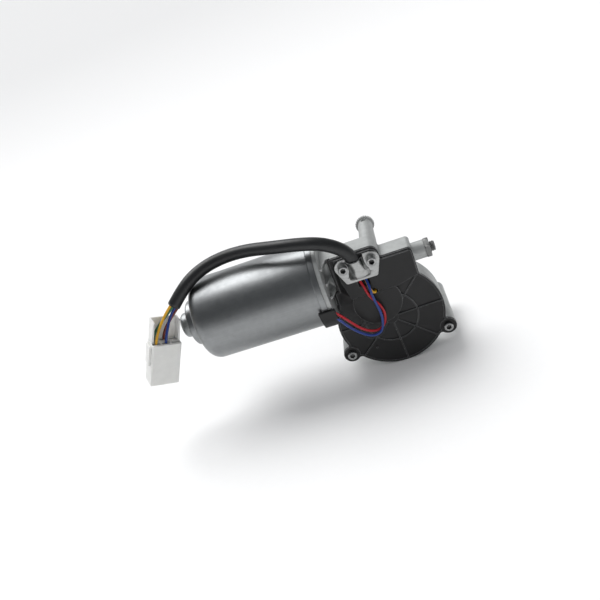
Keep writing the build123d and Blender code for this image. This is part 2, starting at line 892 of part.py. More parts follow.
# --- Clamp washers and screws -------------------------------------------------------------
with BuildPart() as clamp_washers:
    with BuildSketch(plane_at(clamp_y)):
        with Locations(*clamp_screw_centres):
            Circle(washer_radius)
            Circle(screw_radius, mode=Mode.SUBTRACT)
    extrude(amount=washer_thickness)
clamp_washers.part.label = "clamp_washers"
export_step(clamp_washers.part, "parts/clamp_washers.step")

with BuildPart() as clamp_screws:
    for x, z in clamp_screw_centres:
        with Locations(outward(washer_y, x, z)):
            rod(screw_head_radius, clamp_screw_head)
        with Locations(inward(washer_y, x, z)):
            rod(screw_radius, front_y + screw_reach - screw_tip_gap - washer_y)
    chamfer(clamp_screws.edges().group_by(Axis.Y)[0], screw_head_round)
    for x, z in clamp_screw_centres:
        with Locations(outward(washer_y - clamp_screw_head, x, z)):
            add(extrude(hexagon(Plane.XY, socket_width), amount=-socket_depth, mode=Mode.PRIVATE),
                mode=Mode.SUBTRACT)
clamp_screws.part.label = "clamp_screws"
export_step(clamp_screws.part, "parts/clamp_screws.step")

# --- Serrated insert of the top pillar ----------------------------------------------------
with BuildPart() as pillar_insert:
    with BuildSketch(plane_at(-insert_flange_thickness)):
        with Locations(top_pillar):
            Circle(insert_flange_radius)
            with PolarLocations(insert_flange_radius, insert_teeth):
                Rectangle(insert_tooth_depth, insert_tooth_depth, rotation=45, mode=Mode.SUBTRACT)
    extrude(amount=-insert_flange_thickness)
    with Locations(outward(-insert_flange_thickness, *top_pillar)):
        rod(insert_radius, mount_hole_depth)
    with Locations(inward(0, *top_pillar)):
        Hole(mount_hole_radius, depth=mount_hole_depth)
pillar_insert.part.label = "pillar_insert"
export_step(pillar_insert.part, "parts/pillar_insert.step")

# --- Output shaft's bearings and seal -----------------------------------------------------
with BuildPart() as shaft_bush_inner:
    extrude(ring(plane_at(boss_inner_y), bush_radius, shaft_radius + running_clearance), amount=-bush_length)
shaft_bush_inner.part.label = "shaft_bush_inner"
export_step(shaft_bush_inner.part, "parts/shaft_bush_inner.step")

with BuildPart() as shaft_bush_outer:
    extrude(ring(plane_at(seal_y), bush_radius, shaft_radius + running_clearance), amount=bush_length)
shaft_bush_outer.part.label = "shaft_bush_outer"
export_step(shaft_bush_outer.part, "parts/shaft_bush_outer.step")

with BuildPart() as shaft_seal:
    revolve(
        section(
            shaft_plane,
            (seal_y, shaft_radius + seal_lip_rise),
            (seal_y, seal_radius),
            (boss_end_y, seal_radius),
            (boss_end_y, shaft_radius + running_clearance),
            (boss_end_y - seal_lip_width, shaft_radius + running_clearance),
        ),
        axis=Axis.Y,
    )
shaft_seal.part.label = "shaft_seal"
export_step(shaft_seal.part, "parts/shaft_seal.step")

# --- Output shaft -------------------------------------------------------------------------
with BuildPart() as output_shaft:
    revolve(
        section(
            shaft_plane,
            (shaft_front_y, 0),
            (shaft_front_y, shaft_radius),
            (circlip_y, shaft_radius),
            (circlip_y, shaft_radius - circlip_groove),
            (circlip_y + circlip_thickness, shaft_radius - circlip_groove),
            (circlip_y + circlip_thickness, shaft_radius),
            (shaft_plain_end, shaft_radius),
            (shaft_plain_end, 0),
        ),
        axis=Axis.Y,
    )
    loft(
        [
            serrated_outline(shaft_plain_end, shaft_radius),
            serrated_outline(cone_end_y, shaft_cone_tip_radius),
        ],
        ruled=True,
    )
    with Locations(inward(cone_end_y, 0, 0)):
        rod(shaft_thread_radius, shaft_thread_length)
    chamfer(output_shaft.edges().group_by(Axis.Y)[-1], shaft_end_chamfer)
output_shaft.part.label = "output_shaft"
export_step(output_shaft.part, "parts/output_shaft.step")

# --- Washers and circlip on the output shaft ----------------------------------------------
with BuildPart() as thrust_washer:
    extrude(ring(plane_at(hub_back_y), thrust_washer_radius, shaft_radius), amount=-thrust_washer_thickness)
thrust_washer.part.label = "thrust_washer"
export_step(thrust_washer.part, "parts/thrust_washer.step")

with BuildPart() as shaft_washer:
    extrude(ring(plane_at(circlip_y), thrust_washer_radius, shaft_radius), amount=thrust_washer_thickness)
shaft_washer.part.label = "shaft_washer"
export_step(shaft_washer.part, "parts/shaft_washer.step")

with BuildPart() as shaft_circlip:
    with BuildSketch(plane_at(circlip_y)):
        Circle(circlip_radius)
        Circle(shaft_radius - circlip_groove, mode=Mode.SUBTRACT)
        with Locations((0, -circlip_radius)):
            Rectangle(circlip_opening, circlip_radius, mode=Mode.SUBTRACT)
    extrude(amount=-circlip_thickness)
shaft_circlip.part.label = "shaft_circlip"
export_step(shaft_circlip.part, "parts/shaft_circlip.step")

# --- Worm wheel ---------------------------------------------------------------------------
with BuildPart() as worm_wheel:
    wheel_ends = [wheel_outline(wheel_back_y, wheel_twist / 2), wheel_outline(wheel_front_y, -wheel_twist / 2)]
    loft(wheel_ends, ruled=True)
    # The web leaves a rim and a collar, joined by spokes on the back.
    extrude(
        ring(plane_at(wheel_back_y), wheel_root_radius - rim_thickness, hub_radius + rim_thickness),
        amount=wheel_width - web_thickness,
        mode=Mode.SUBTRACT,
    )
    with BuildSketch(plane_at(wheel_front_y + web_thickness)):
        with PolarLocations((hub_radius + wheel_root_radius) / 2, spoke_count):
            Rectangle(wheel_root_radius - hub_radius - 2 * rim_thickness + 1, spoke_width)
    extrude(amount=-spoke_height)
    extrude(
        ring(plane_at(wheel_back_y), wheel_root_radius - rim_thickness, 0.5),
        amount=wheel_back_y - hub_back_y + collar_relief,
        mode=Mode.SUBTRACT,
    )
    with Locations(outward(wheel_back_y, 0, 0)):
        Hole(hub_radius, depth=2 * wheel_width)
worm_wheel.part.label = "worm_wheel"
export_step(worm_wheel.part, "parts/worm_wheel.step")

with BuildPart() as wheel_hub:
    extrude(ring(plane_at(hub_back_y), hub_radius, shaft_radius), amount=hub_length)
wheel_hub.part.label = "wheel_hub"
export_step(wheel_hub.part, "parts/wheel_hub.step")

# --- Parking disc, with the gap that stops the motor --------------------------------------
with BuildPart() as park_disc:
    extrude(ring(plane_at(wheel_front_y), park_disc_mid, park_disc_inner), amount=park_disc_thickness)
    extrude(
        sector(
            plane_at(wheel_front_y),
            park_disc_outer,
            park_disc_mid - 1,
            park_gap_angle / 2,
            360 - park_gap_angle / 2,
        ),
        amount=park_disc_thickness,
    )
park_disc.part.label = "park_disc"
export_step(park_disc.part, "parts/park_disc.step")

# --- Parking contacts ---------------------------------------------------------------------
with BuildPart() as contact_base:
    with BuildSketch(plane_at(gasket_y + contact_base_height)):
        with Locations((contact_base_x, contact_base_z)):
            RectangleRounded(contact_base_width, contact_base_depth, contact_base_height / 2)
    extrude(amount=contact_base_height)
contact_base.part.label = "contact_base"
export_step(contact_base.part, "parts/contact_base.step")

with BuildPart() as park_contacts:
    for contact_x, tip_radius in park_contact_tips:
        tip_z = math.sqrt(tip_radius**2 - contact_x**2)
        with BuildSketch(Plane.YZ.offset(contact_x - contact_width / 2)):
            with BuildLine():
                Polyline(
                    (contact_root_y, contact_base_z),
                    (contact_root_y, contact_base_z - contact_base_depth / 2),
                    (contact_tip_y - contact_thickness, tip_z),
                    (contact_root_y, tip_z - contact_heel),
                    (contact_root_y + contact_thickness, tip_z - contact_heel),
                    (contact_tip_y, tip_z),
                    (contact_root_y + contact_thickness, contact_base_z - contact_base_depth / 2),
                    (contact_root_y + contact_thickness, contact_base_z),
                    close=True,
                )
            make_face()
        extrude(amount=contact_width)
park_contacts.part.label = "park_contacts"
export_step(park_contacts.part, "parts/park_contacts.step")

# --- Armature shaft with its worm ---------------------------------------------------------
with BuildPart() as armature_shaft:
    revolve(
        section(
            worm_plane,
            (rear_journal_x, 0),
            (rear_journal_x, journal_radius),
            (rear_step_x, journal_radius),
            (rear_step_x, motor_shaft_radius),
            (-worm_length / 2, motor_shaft_radius),
            (-worm_length / 2, worm_root_radius),
            (worm_length / 2, worm_root_radius),
            (worm_length / 2, motor_shaft_radius),
            (channel_right - end_play, motor_shaft_radius),
            (channel_right - end_play, journal_radius),
            (journal_end_x, journal_radius),
            (journal_end_x, 0),
        ),
        axis=worm_axis,
    )
    thread_root = worm_root_radius - thread_embed
    with BuildLine(mode=Mode.PRIVATE):
        thread_helix = Helix(
            worm_lead,
            worm_length,
            thread_root,
            center=(-worm_length / 2, worm_y, worm_z),
            direction=(1, 0, 0),
        )
    thread_start = thread_helix @ 0
    thread_outward = thread_start - Vector(-worm_length / 2, worm_y, worm_z)
    with BuildSketch(Plane(thread_start, x_dir=thread_outward, z_dir=thread_helix % 0)):
        with BuildLine():
            Polyline(
                (0, -thread_half_root),
                (worm_tip_radius - thread_root, -thread_half_tip),
                (worm_tip_radius - thread_root, thread_half_tip),
                (0, thread_half_root),
                close=True,
            )
        make_face()
    sweep(path=thread_helix, is_frenet=True)
armature_shaft.part.label = "armature_shaft"
export_step(armature_shaft.part, "parts/armature_shaft.step")

# --- Armature core and windings -----------------------------------------------------------
with BuildPart() as armature_core:
    with BuildSketch(motor_plane(armature_left)):
        Circle(armature_radius)
        Circle(motor_shaft_radius, mode=Mode.SUBTRACT)
        with PolarLocations(0, slot_count):
            with BuildLine():
                Polyline(*slot_corners, close=True)
            make_face(mode=Mode.SUBTRACT)
        with PolarLocations(armature_radius, slot_count):
            Rectangle(2 * slot_lip + 1, slot_opening, mode=Mode.SUBTRACT)
    extrude(amount=armature_length)
armature_core.part.label = "armature_core"
export_step(armature_core.part, "parts/armature_core.step")

with BuildPart() as windings:
    with BuildSketch(motor_plane(armature_left)):
        with PolarLocations(0, slot_count):
            with BuildLine():
                Polyline(*slot_corners, close=True)
            make_face()
    extrude(amount=armature_length)
    for end_x in (armature_left - end_turn_length, armature_left + armature_length):
        extrude(ring(motor_plane(end_x), end_turn_radius, motor_shaft_radius), amount=end_turn_length)
    far_circles = windings.edges().filter_by(GeomType.CIRCLE).group_by(Axis.X)[0]
    fillet(far_circles.sort_by(SortBy.RADIUS)[-1:], end_turn_round)
windings.part.label = "windings"
export_step(windings.part, "parts/windings.step")

# --- Commutator ---------------------------------------------------------------------------
with BuildPart() as commutator:
    with BuildSketch(motor_plane(commutator_left)):
        Circle(commutator_radius)
        Circle(motor_shaft_radius, mode=Mode.SUBTRACT)
        with PolarLocations(commutator_radius, commutator_bars):
            Rectangle(2 * commutator_groove, commutator_groove, mode=Mode.SUBTRACT)
    extrude(amount=commutator_length)
    riser_outline = ring(motor_plane(commutator_left), commutator_radius + riser_height, motor_shaft_radius)
    extrude(riser_outline, amount=riser_width)
commutator.part.label = "commutator"
export_step(commutator.part, "parts/commutator.step")

# --- Ball bearing -------------------------------------------------------------------------
with BuildPart() as bearing_outer_ring:
    outer_ring_outline = ring(motor_plane(bearing_left_x), bearing_radius, bearing_radius - bearing_ring)
    extrude(outer_ring_outline, amount=bearing_width)
bearing_outer_ring.part.label = "bearing_outer_ring"
export_step(bearing_outer_ring.part, "parts/bearing_outer_ring.step")

with BuildPart() as bearing_inner_ring:
    extrude(
        ring(motor_plane(bearing_left_x), motor_shaft_radius + bearing_ring, motor_shaft_radius),
        amount=bearing_width,
    )
bearing_inner_ring.part.label = "bearing_inner_ring"
export_step(bearing_inner_ring.part, "parts/bearing_inner_ring.step")

with BuildPart() as bearing_balls:
    with Locations(motor_plane(bearing_left_x + bearing_width / 2)):
        with PolarLocations((bearing_radius + motor_shaft_radius) / 2, ball_count):
            Sphere((bearing_radius - motor_shaft_radius) / 2 - bearing_ring - ball_gap)
bearing_balls.part.label = "bearing_balls"
export_step(bearing_balls.part, "parts/bearing_balls.step")


def can_outline(inset):
    """Half the can's section, shrunk by the inset all round but at its open end."""
    wall_x, boss_x, dome_x = (x + inset for x in (can_end_x, can_boss_x, can_left_x))
    with BuildSketch(worm_plane) as profile:
        with BuildLine():
            Polyline(
                (can_open_x, 0),
                (can_open_x, can_radius - inset),
                (wall_x, can_radius - inset),
                (wall_x, end_boss_radius - inset),
                (boss_x, end_boss_radius - inset),
                (boss_x, end_dome_radius - inset),
                (dome_x, end_dome_radius - inset),
                (dome_x, 0),
                close=True,
            )
        make_face()
        corners = profile.vertices()
        fillet(corners.sort_by_distance((wall_x, can_radius - inset))[0], can_shoulder - inset)
        for x, radius in ((boss_x, end_boss_radius), (dome_x, end_dome_radius)):
            fillet(profile.vertices().sort_by_distance((x, radius - inset))[0], can_corner - inset / 2)
    return profile.sketch


# --- Motor can ----------------------------------------------------------------------------
with BuildPart() as motor_can:
    revolve(can_outline(0), axis=worm_axis)
    extrude(ring(motor_plane(can_open_x), collar_radius, can_inner), amount=-collar_width)
    revolve(can_outline(can_wall), axis=worm_axis, mode=Mode.SUBTRACT)
motor_can.part.label = "motor_can"
export_step(motor_can.part, "parts/motor_can.step")

with BuildPart() as rear_bush:
    extrude(
        ring(motor_plane(rear_bush_x), end_dome_radius - can_wall, journal_radius + running_clearance),
        amount=rear_bush_length,
    )
rear_bush.part.label = "rear_bush"
export_step(rear_bush.part, "parts/rear_bush.step")

# --- Field magnets and their clips --------------------------------------------------------
with BuildPart() as field_magnets:
    for middle in (0, 180):
        extrude(
            sector(
                motor_plane(magnet_left),
                can_inner,
                armature_radius + magnet_gap,
                middle - magnet_angle / 2,
                middle + magnet_angle / 2,
            ),
            amount=magnet_length,
        )
field_magnets.part.label = "field_magnets"
export_step(field_magnets.part, "parts/field_magnets.step")

with BuildPart() as magnet_clips:
    for middle in (90, 270):
        extrude(
            sector(
                motor_plane(magnet_left),
                can_inner,
                can_inner - clip_thickness,
                middle - 90 + magnet_angle / 2,
                middle + 90 - magnet_angle / 2,
            ),
            amount=magnet_length,
        )
magnet_clips.part.label = "magnet_clips"
export_step(magnet_clips.part, "parts/magnet_clips.step")


def brush_place(angle, radius):
    """A place on the brushes' plane at an angle round the commutator, facing outward."""
    direction = Vector(0, math.cos(math.radians(angle)), math.sin(math.radians(angle)))
    return Plane(Vector(brush_x, worm_y, worm_z) + direction * radius, x_dir=(1, 0, 0), z_dir=direction)


# --- Brush plate, brush boxes, brushes and springs ----------------------------------------
with BuildPart() as brush_plate:
    extrude(
        ring(
            motor_plane(brush_plate_x),
            can_inner - brush_plate_clearance,
            commutator_radius + brush_plate_bore,
        ),
        amount=brush_plate_thickness,
    )
brush_plate.part.label = "brush_plate"
export_step(brush_plate.part, "parts/brush_plate.step")

with BuildPart() as brush_boxes:
    for angle in brush_angles:
        with Locations(brush_place(angle, brush_box_start)):
            Box(
                brush_breadth + 2 * brush_box_wall,
                brush_width + 2 * brush_box_wall,
                brush_box_end - brush_box_start,
                align=(Align.CENTER, Align.CENTER, Align.MIN),
            )
            Box(
                brush_breadth,
                brush_width,
                brush_box_end - brush_box_start - brush_box_wall,
                align=(Align.CENTER, Align.CENTER, Align.MIN),
                mode=Mode.SUBTRACT,
            )
brush_boxes.part.label = "brush_boxes"
export_step(brush_boxes.part, "parts/brush_boxes.step")

with BuildPart() as carbon_brushes:
    for angle in brush_angles:
        with Locations(brush_place(angle, commutator_radius - brush_width)):
            Box(
                brush_breadth,
                brush_width,
                brush_length + brush_width,
                align=(Align.CENTER, Align.CENTER, Align.MIN),
            )
    with Locations(motor_plane(commutator_left)):
        rod(commutator_radius + brush_gap, 2 * commutator_length, mode=Mode.SUBTRACT)
carbon_brushes.part.label = "carbon_brushes"
export_step(carbon_brushes.part, "parts/carbon_brushes.step")

with BuildPart() as brush_springs:
    for angle in brush_angles:
        place = brush_place(angle, commutator_radius + brush_length)
        coil_length = brush_box_end - brush_box_wall - commutator_radius - brush_length
        with BuildLine(mode=Mode.PRIVATE):
            coil = Helix(
                (coil_length - spring_wire) / spring_turns,
                coil_length - spring_wire,
                spring_radius,
                center=place.origin + place.z_dir * spring_wire / 2,
                direction=place.z_dir,
            )
        with BuildSketch(Plane(coil @ 0, x_dir=place.z_dir, z_dir=coil % 0)):
            Rectangle(spring_wire, spring_wire)
        sweep(path=coil, is_frenet=True)
brush_springs.part.label = "brush_springs"
export_step(brush_springs.part, "parts/brush_springs.step")

# --- Lead outlet --------------------------------------------------------------------------
with BuildPart() as lead_outlet:
    extrude(
        sector(
            motor_plane(outlet_left_x),
            collar_radius + outlet_thickness,
            collar_radius,
            180 + outlet_start_angle,
            180 + outlet_end_angle,
        ),
        amount=outlet_right_x - outlet_left_x,
    )
    extrude(
        sector(
            motor_plane(can_open_x),
            collar_radius + outlet_thickness / 2,
            can_inner,
            180 + outlet_neck_start,
            180 + outlet_neck_end,
        ),
        amount=flange_thickness,
    )
lead_outlet.part.label = "lead_outlet"
export_step(lead_outlet.part, "parts/lead_outlet.step")

# --- End bush, thrust pad, adjusting screw and lock nut -----------------------------------
with BuildPart() as end_bush:
    extrude(
        ring(motor_plane(channel_right), journal_radius + bush_wall, journal_radius + running_clearance),
        amount=end_bush_length,
    )
end_bush.part.label = "end_bush"
export_step(end_bush.part, "parts/end_bush.step")

with BuildPart() as thrust_pad:
    with Locations(motor_plane(end_bush_end_x - thrust_pad_length)):
        rod(journal_radius, thrust_pad_length)
thrust_pad.part.label = "thrust_pad"
export_step(thrust_pad.part, "parts/thrust_pad.step")

with BuildPart() as adjusting_screw:
    with Locations(motor_plane(end_bush_end_x)):
        rod(adjuster_radius, adjuster_end - end_bush_end_x)
    chamfer(adjusting_screw.edges().group_by(Axis.X)[-1], shaft_end_chamfer)
    extrude(hexagon(motor_plane(adjuster_end), adjuster_socket), amount=-adjuster_socket, mode=Mode.SUBTRACT)
adjusting_screw.part.label = "adjusting_screw"
export_step(adjusting_screw.part, "parts/adjusting_screw.step")

with BuildPart() as lock_nut:
    extrude(hexagon(motor_plane(adjuster_boss_x), lock_nut_width), amount=lock_nut_height)
    # The corners are turned off at the outer face.
    with Locations(motor_plane(adjuster_boss_x)):
        Cone(
            lock_nut_width / 2 + lock_nut_height,
            lock_nut_width / 2,
            lock_nut_height,
            align=(Align.CENTER, Align.CENTER, Align.MIN),
            mode=Mode.INTERSECT,
        )
    with Locations(motor_plane(adjuster_boss_x + lock_nut_height)):
        Hole(adjuster_radius, depth=lock_nut_height)
lock_nut.part.label = "lock_nut"
export_step(lock_nut.part, "parts/lock_nut.step")

# --- Connector ----------------------------------------------------------------------------
with BuildPart() as connector_housing:
    with BuildSketch(connector_plane):
        RectangleRounded(connector_width, connector_depth, connector_wall)
    extrude(amount=connector_length)
    # A U-shaped wall shields the backs of the cavities.
    with BuildSketch(connector_plane):
        with Locations((0, -connector_depth / 2 + shield_depth / 2)):
            Rectangle(shield_width, shield_depth)
        with Locations((0, -connector_depth / 2 + shield_depth / 2 + connector_wall)):
            Rectangle(shield_width - 2 * connector_wall, shield_depth, mode=Mode.SUBTRACT)
    extrude(amount=-connector_back_height)
    with BuildSketch(connector_plane.offset(latch_start)):
        with Locations((-(connector_width + latch_height) / 2, 0)):
            Rectangle(latch_height, latch_width)
    extrude(amount=latch_length)
    with BuildSketch(connector_plane):
        with GridLocations(connector_column, connector_row, 3, 2):
            Rectangle(cavity_width, cavity_depth)
    extrude(amount=connector_length, mode=Mode.SUBTRACT)
connector_housing.part.label = "connector_housing"
export_step(connector_housing.part, "parts/connector_housing.step")

with BuildPart() as connector_terminals:
    for column, row in cavity_use.values():
        place = (column * connector_column, row * connector_row / 2)
        with BuildSketch(connector_plane):
            with Locations(place):
                Circle(core_diameter / 2)
        extrude(amount=terminal_start)
        with BuildSketch(connector_plane.offset(terminal_start)):
            with Locations(place):
                Rectangle(blade_width, blade_depth)
        extrude(amount=blade_length)
connector_terminals.part.label = "connector_terminals"
export_step(connector_terminals.part, "parts/connector_terminals.step")

# --- Sleeve -------------------------------------------------------------------------------
with BuildPart() as sleeve:
    with BuildLine():
        sleeve_route = FilletPolyline(*sleeve_points, radius=bend_radii("sleeve", sleeve_points))
    with BuildSketch(Plane(sleeve_route @ 0, z_dir=sleeve_route % 0)):
        Circle(sleeve_diameter / 2)
    sweep(path=sleeve_route)
sleeve.part.label = "sleeve"
export_step(sleeve.part, "parts/sleeve.step")

# --- Cores, from the sleeve's end to the connector ----------------------------------------
sleeve_end = Plane(sleeve_route @ 1, x_dir=connector_across, z_dir=sleeve_route % 1)
for number, (name, (column, row)) in enumerate(cavity_use.items()):
    across = (number - (len(cavity_use) - 1) / 2) * core_spacing
    start = sleeve_end.from_local_coords(Vector(across, core_rise, 0))
    entry = connector_plane.from_local_coords(Vector(column * connector_column, row * connector_row / 2, 0))
    core_points = [
        start,
        start + sleeve_end.z_dir * core_lead_out,
        entry - connector_down * core_lead_in,
        entry,
    ]
    with BuildPart() as core:
        with BuildLine():
            core_route = FilletPolyline(*core_points, radius=bend_radii(name, core_points))
        with BuildSketch(Plane(core_route @ 0, z_dir=core_route % 0)):
            Circle(core_diameter / 2)
        sweep(path=core_route)
    core.part.label = name
    export_step(core.part, f"parts/{name}.step")

# --- Leads, from the motor and the parking switch to the sleeve ---------------------------
motor_leads = {"red_lead": red_points, "blue_lead": blue_points, "yellow_lead": yellow_points}
for name, lead_points in motor_leads.items():
    with BuildPart() as lead:
        with BuildLine():
            lead_route = FilletPolyline(*lead_points, radius=bend_radii(name, lead_points))
        with BuildSketch(Plane(lead_route @ 0, z_dir=lead_route % 0)):
            Circle(lead_diameter / 2)
        sweep(path=lead_route)
    lead.part.label = name
    export_step(lead.part, f"parts/{name}.step")
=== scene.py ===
"""The looks of a wiper motor on a pale studio floor.

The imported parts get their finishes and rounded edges. The can, the turned and threaded parts, the clamp's
saddle, the sleeve and the leads are built here in full.
"""

import json
import math

import bmesh
import bpy
from bpy.props import FloatProperty, FloatVectorProperty, IntProperty, PointerProperty
from mathutils import Matrix, Vector


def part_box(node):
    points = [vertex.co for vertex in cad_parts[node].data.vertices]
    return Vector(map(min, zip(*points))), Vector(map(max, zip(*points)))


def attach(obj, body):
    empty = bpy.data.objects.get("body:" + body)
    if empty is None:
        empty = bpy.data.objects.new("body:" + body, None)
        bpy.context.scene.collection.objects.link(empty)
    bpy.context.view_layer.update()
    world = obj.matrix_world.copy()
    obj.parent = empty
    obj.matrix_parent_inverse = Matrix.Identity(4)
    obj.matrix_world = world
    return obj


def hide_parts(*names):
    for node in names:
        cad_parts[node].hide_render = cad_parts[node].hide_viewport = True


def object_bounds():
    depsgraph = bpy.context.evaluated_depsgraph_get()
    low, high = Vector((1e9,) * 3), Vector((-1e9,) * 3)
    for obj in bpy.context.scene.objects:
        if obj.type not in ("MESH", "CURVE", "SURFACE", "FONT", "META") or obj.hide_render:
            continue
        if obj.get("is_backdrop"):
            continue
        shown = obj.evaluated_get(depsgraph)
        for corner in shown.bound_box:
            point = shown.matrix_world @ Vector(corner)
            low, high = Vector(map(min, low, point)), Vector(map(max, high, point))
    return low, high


bl_info = {
    "name": "Wiper Motor Looks",
    "version": (1, 0, 0),
    "blender": (4, 5, 0),
    "location": "View3D > Sidebar > Wiper Motor",
    "description": "Builds the finishes and the fine pieces of a wiper motor around its packed parts",
    "category": "Add Mesh",
}

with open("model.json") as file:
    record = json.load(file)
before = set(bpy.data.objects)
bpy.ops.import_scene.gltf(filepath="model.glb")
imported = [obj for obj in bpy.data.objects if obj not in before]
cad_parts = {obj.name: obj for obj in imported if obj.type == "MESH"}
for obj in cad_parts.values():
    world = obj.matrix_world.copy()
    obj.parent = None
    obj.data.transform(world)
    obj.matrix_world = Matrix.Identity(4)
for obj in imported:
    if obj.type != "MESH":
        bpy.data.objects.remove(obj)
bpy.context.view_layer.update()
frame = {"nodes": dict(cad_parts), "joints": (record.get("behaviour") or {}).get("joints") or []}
JOINTS = {joint["name"]: Vector(joint["pos_m"]) for joint in frame["joints"]}
MM = 0.001
# A turned shape closes on a ring this small.
POINT = 0.01 * MM

# Each line's own Z axis lies along the turned pieces that stand on it.
ARMATURE_LINE = Matrix.Translation(JOINTS["armature_spin"]) @ Matrix.Rotation(math.radians(90), 4, "Y")
SHAFT_LINE = Matrix.Rotation(math.radians(-90), 4, "X")
CAN_LINE = Matrix.Translation(JOINTS["armature_spin"]) @ Matrix.Rotation(math.radians(-90), 4, "Y")

SLEEVE_ROUTE = [
    (-0.0132, -0.0798, 0.054),
    (-0.0132, -0.0798, 0.066),
    (-0.0172, -0.0798, 0.0784),
    (-0.0255, -0.081, 0.0878),
    (-0.0371, -0.0815, 0.0954),
    (-0.0534, -0.0798, 0.1),
    (-0.0792, -0.0722, 0.1024),
    (-0.104, -0.06, 0.1028),
    (-0.1283, -0.0545, 0.1018),
    (-0.1502, -0.0605, 0.1),
    (-0.1682, -0.0725, 0.094),
    (-0.1838, -0.0765, 0.0807),
]
RED_ROUTE = [
    (-0.0446, -0.1022, 0.0383),
    (-0.0415, -0.0985, 0.032),
    (-0.0366, -0.0932, 0.021),
    (-0.0295, -0.0882, 0.0065),
    (-0.0215, -0.085, -0.0024),
    (-0.0128, -0.0834, -0.0046),
    (-0.0063, -0.0822, 0.0009),
    (-0.0039, -0.0815, 0.0093),
    (-0.0052, -0.081, 0.0182),
    (-0.0096, -0.0804, 0.0257),
    (-0.0129, -0.0798, 0.0332),
    (-0.0134, -0.0793, 0.0398),
    (-0.0152, -0.0779, 0.0449),
    (-0.0159, -0.0761, 0.0496),
    (-0.0158, -0.076, 0.054),
]
BLUE_ROUTE = [
    (-0.0446, -0.0996, 0.031),
    (-0.0418, -0.0976, 0.0245),
    (-0.0372, -0.0936, 0.0135),
    (-0.0302, -0.0898, 0.002),
    (-0.0208, -0.0878, -0.0063),
    (-0.0119, -0.0864, -0.0054),
    (-0.0079, -0.0852, 0.003),
    (-0.0069, -0.0842, 0.0132),
    (-0.0083, -0.0836, 0.0232),
    (-0.0091, -0.0833, 0.0314),
    (-0.0091, -0.0827, 0.038),
    (-0.0093, -0.0802, 0.0438),
    (-0.0104, -0.0762, 0.0486),
    (-0.0106, -0.076, 0.054),
]
YELLOW_ROUTE = [
    (-0.0056, -0.0725, 0.0314),
    (-0.0056, -0.0762, 0.0314),
    (-0.0061, -0.0786, 0.0318),
    (-0.0078, -0.0799, 0.0332),
    (-0.0094, -0.0802, 0.0366),
    (-0.0098, -0.0783, 0.0421),
    (-0.0106, -0.0752, 0.0472),
    (-0.0124, -0.0745, 0.054),
]
CORE_ROUTES = {
    "yellow": [
        (-0.18532, -0.07951, 0.08324),
        (-0.19347, -0.08026, 0.0775),
        (-0.20567, -0.09276, 0.06511),
        (-0.20992, -0.09325, 0.05719),
    ],
    "green": [
        (-0.18404, -0.0782, 0.08126),
        (-0.19219, -0.07895, 0.07551),
        (-0.20902, -0.08608, 0.0665),
        (-0.21327, -0.08657, 0.05858),
    ],
    "blue": [
        (-0.18276, -0.07689, 0.07928),
        (-0.19091, -0.07764, 0.07353),
        (-0.19857, -0.08835, 0.06102),
        (-0.20283, -0.08884, 0.0531),
    ],
    "brown": [
        (-0.18148, -0.07558, 0.07729),
        (-0.18963, -0.07633, 0.07154),
        (-0.20192, -0.08167, 0.06241),
        (-0.20617, -0.08216, 0.0545),
    ],
}


def linear(colour):
    """Turns an sRGB hex colour into the linear values that shaders take."""
    parts = [int(colour[place : place + 2], 16) / 255 for place in (1, 3, 5)]
    return [part / 12.92 if part <= 0.04045 else ((part + 0.055) / 1.055) ** 2.4 for part in parts]


def colour_setting(name, what, colour):
    return FloatVectorProperty(
        name=name, description=what, subtype="COLOR", min=0, max=1, default=linear(colour)
    )


def length_setting(name, what, millimetres):
    return FloatProperty(
        name=name, description=what, subtype="DISTANCE", unit="LENGTH", min=0, default=millimetres * MM
    )


class MotorFinishes(bpy.types.PropertyGroup):
    """The colours of the motor's pieces."""

    casting: colour_setting("Casting", "Die-cast aluminium of the gear housing", "#b8bab9")
    can: colour_setting("Can", "Zinc-plated drawn steel of the motor can", "#939596")
    zinc: colour_setting("Zinc", "Bright zinc plate on the clamp, screws and nuts", "#b2b3b2")
    cover: colour_setting("Cover", "Moulded gear cover", "#151516")
    # The pale edge colour is a painted highlight on the cover's rounded edges.
    painted_edge_highlight: colour_setting("Painted edge highlight", "Edges of the gear cover, painted pale as a highlight", "#4d4e4f")
    sleeve: colour_setting("Sleeve", "Soft sleeve round the cores", "#1c1d1e")
    connector: colour_setting("Connector", "Unfilled nylon of the connector", "#e4e4e1")
    red: colour_setting("Red", "Insulation of the motor's red lead", "#b4061f")
    blue: colour_setting("Blue", "Insulation of the motor's blue lead and the blue core", "#163683")
    yellow: colour_setting("Yellow", "Insulation of the switch lead and the yellow core", "#d9a420")
    green: colour_setting("Green", "Insulation of the green core", "#2f6a4c")
    brown: colour_setting("Brown", "Insulation of the brown core", "#7c3626")


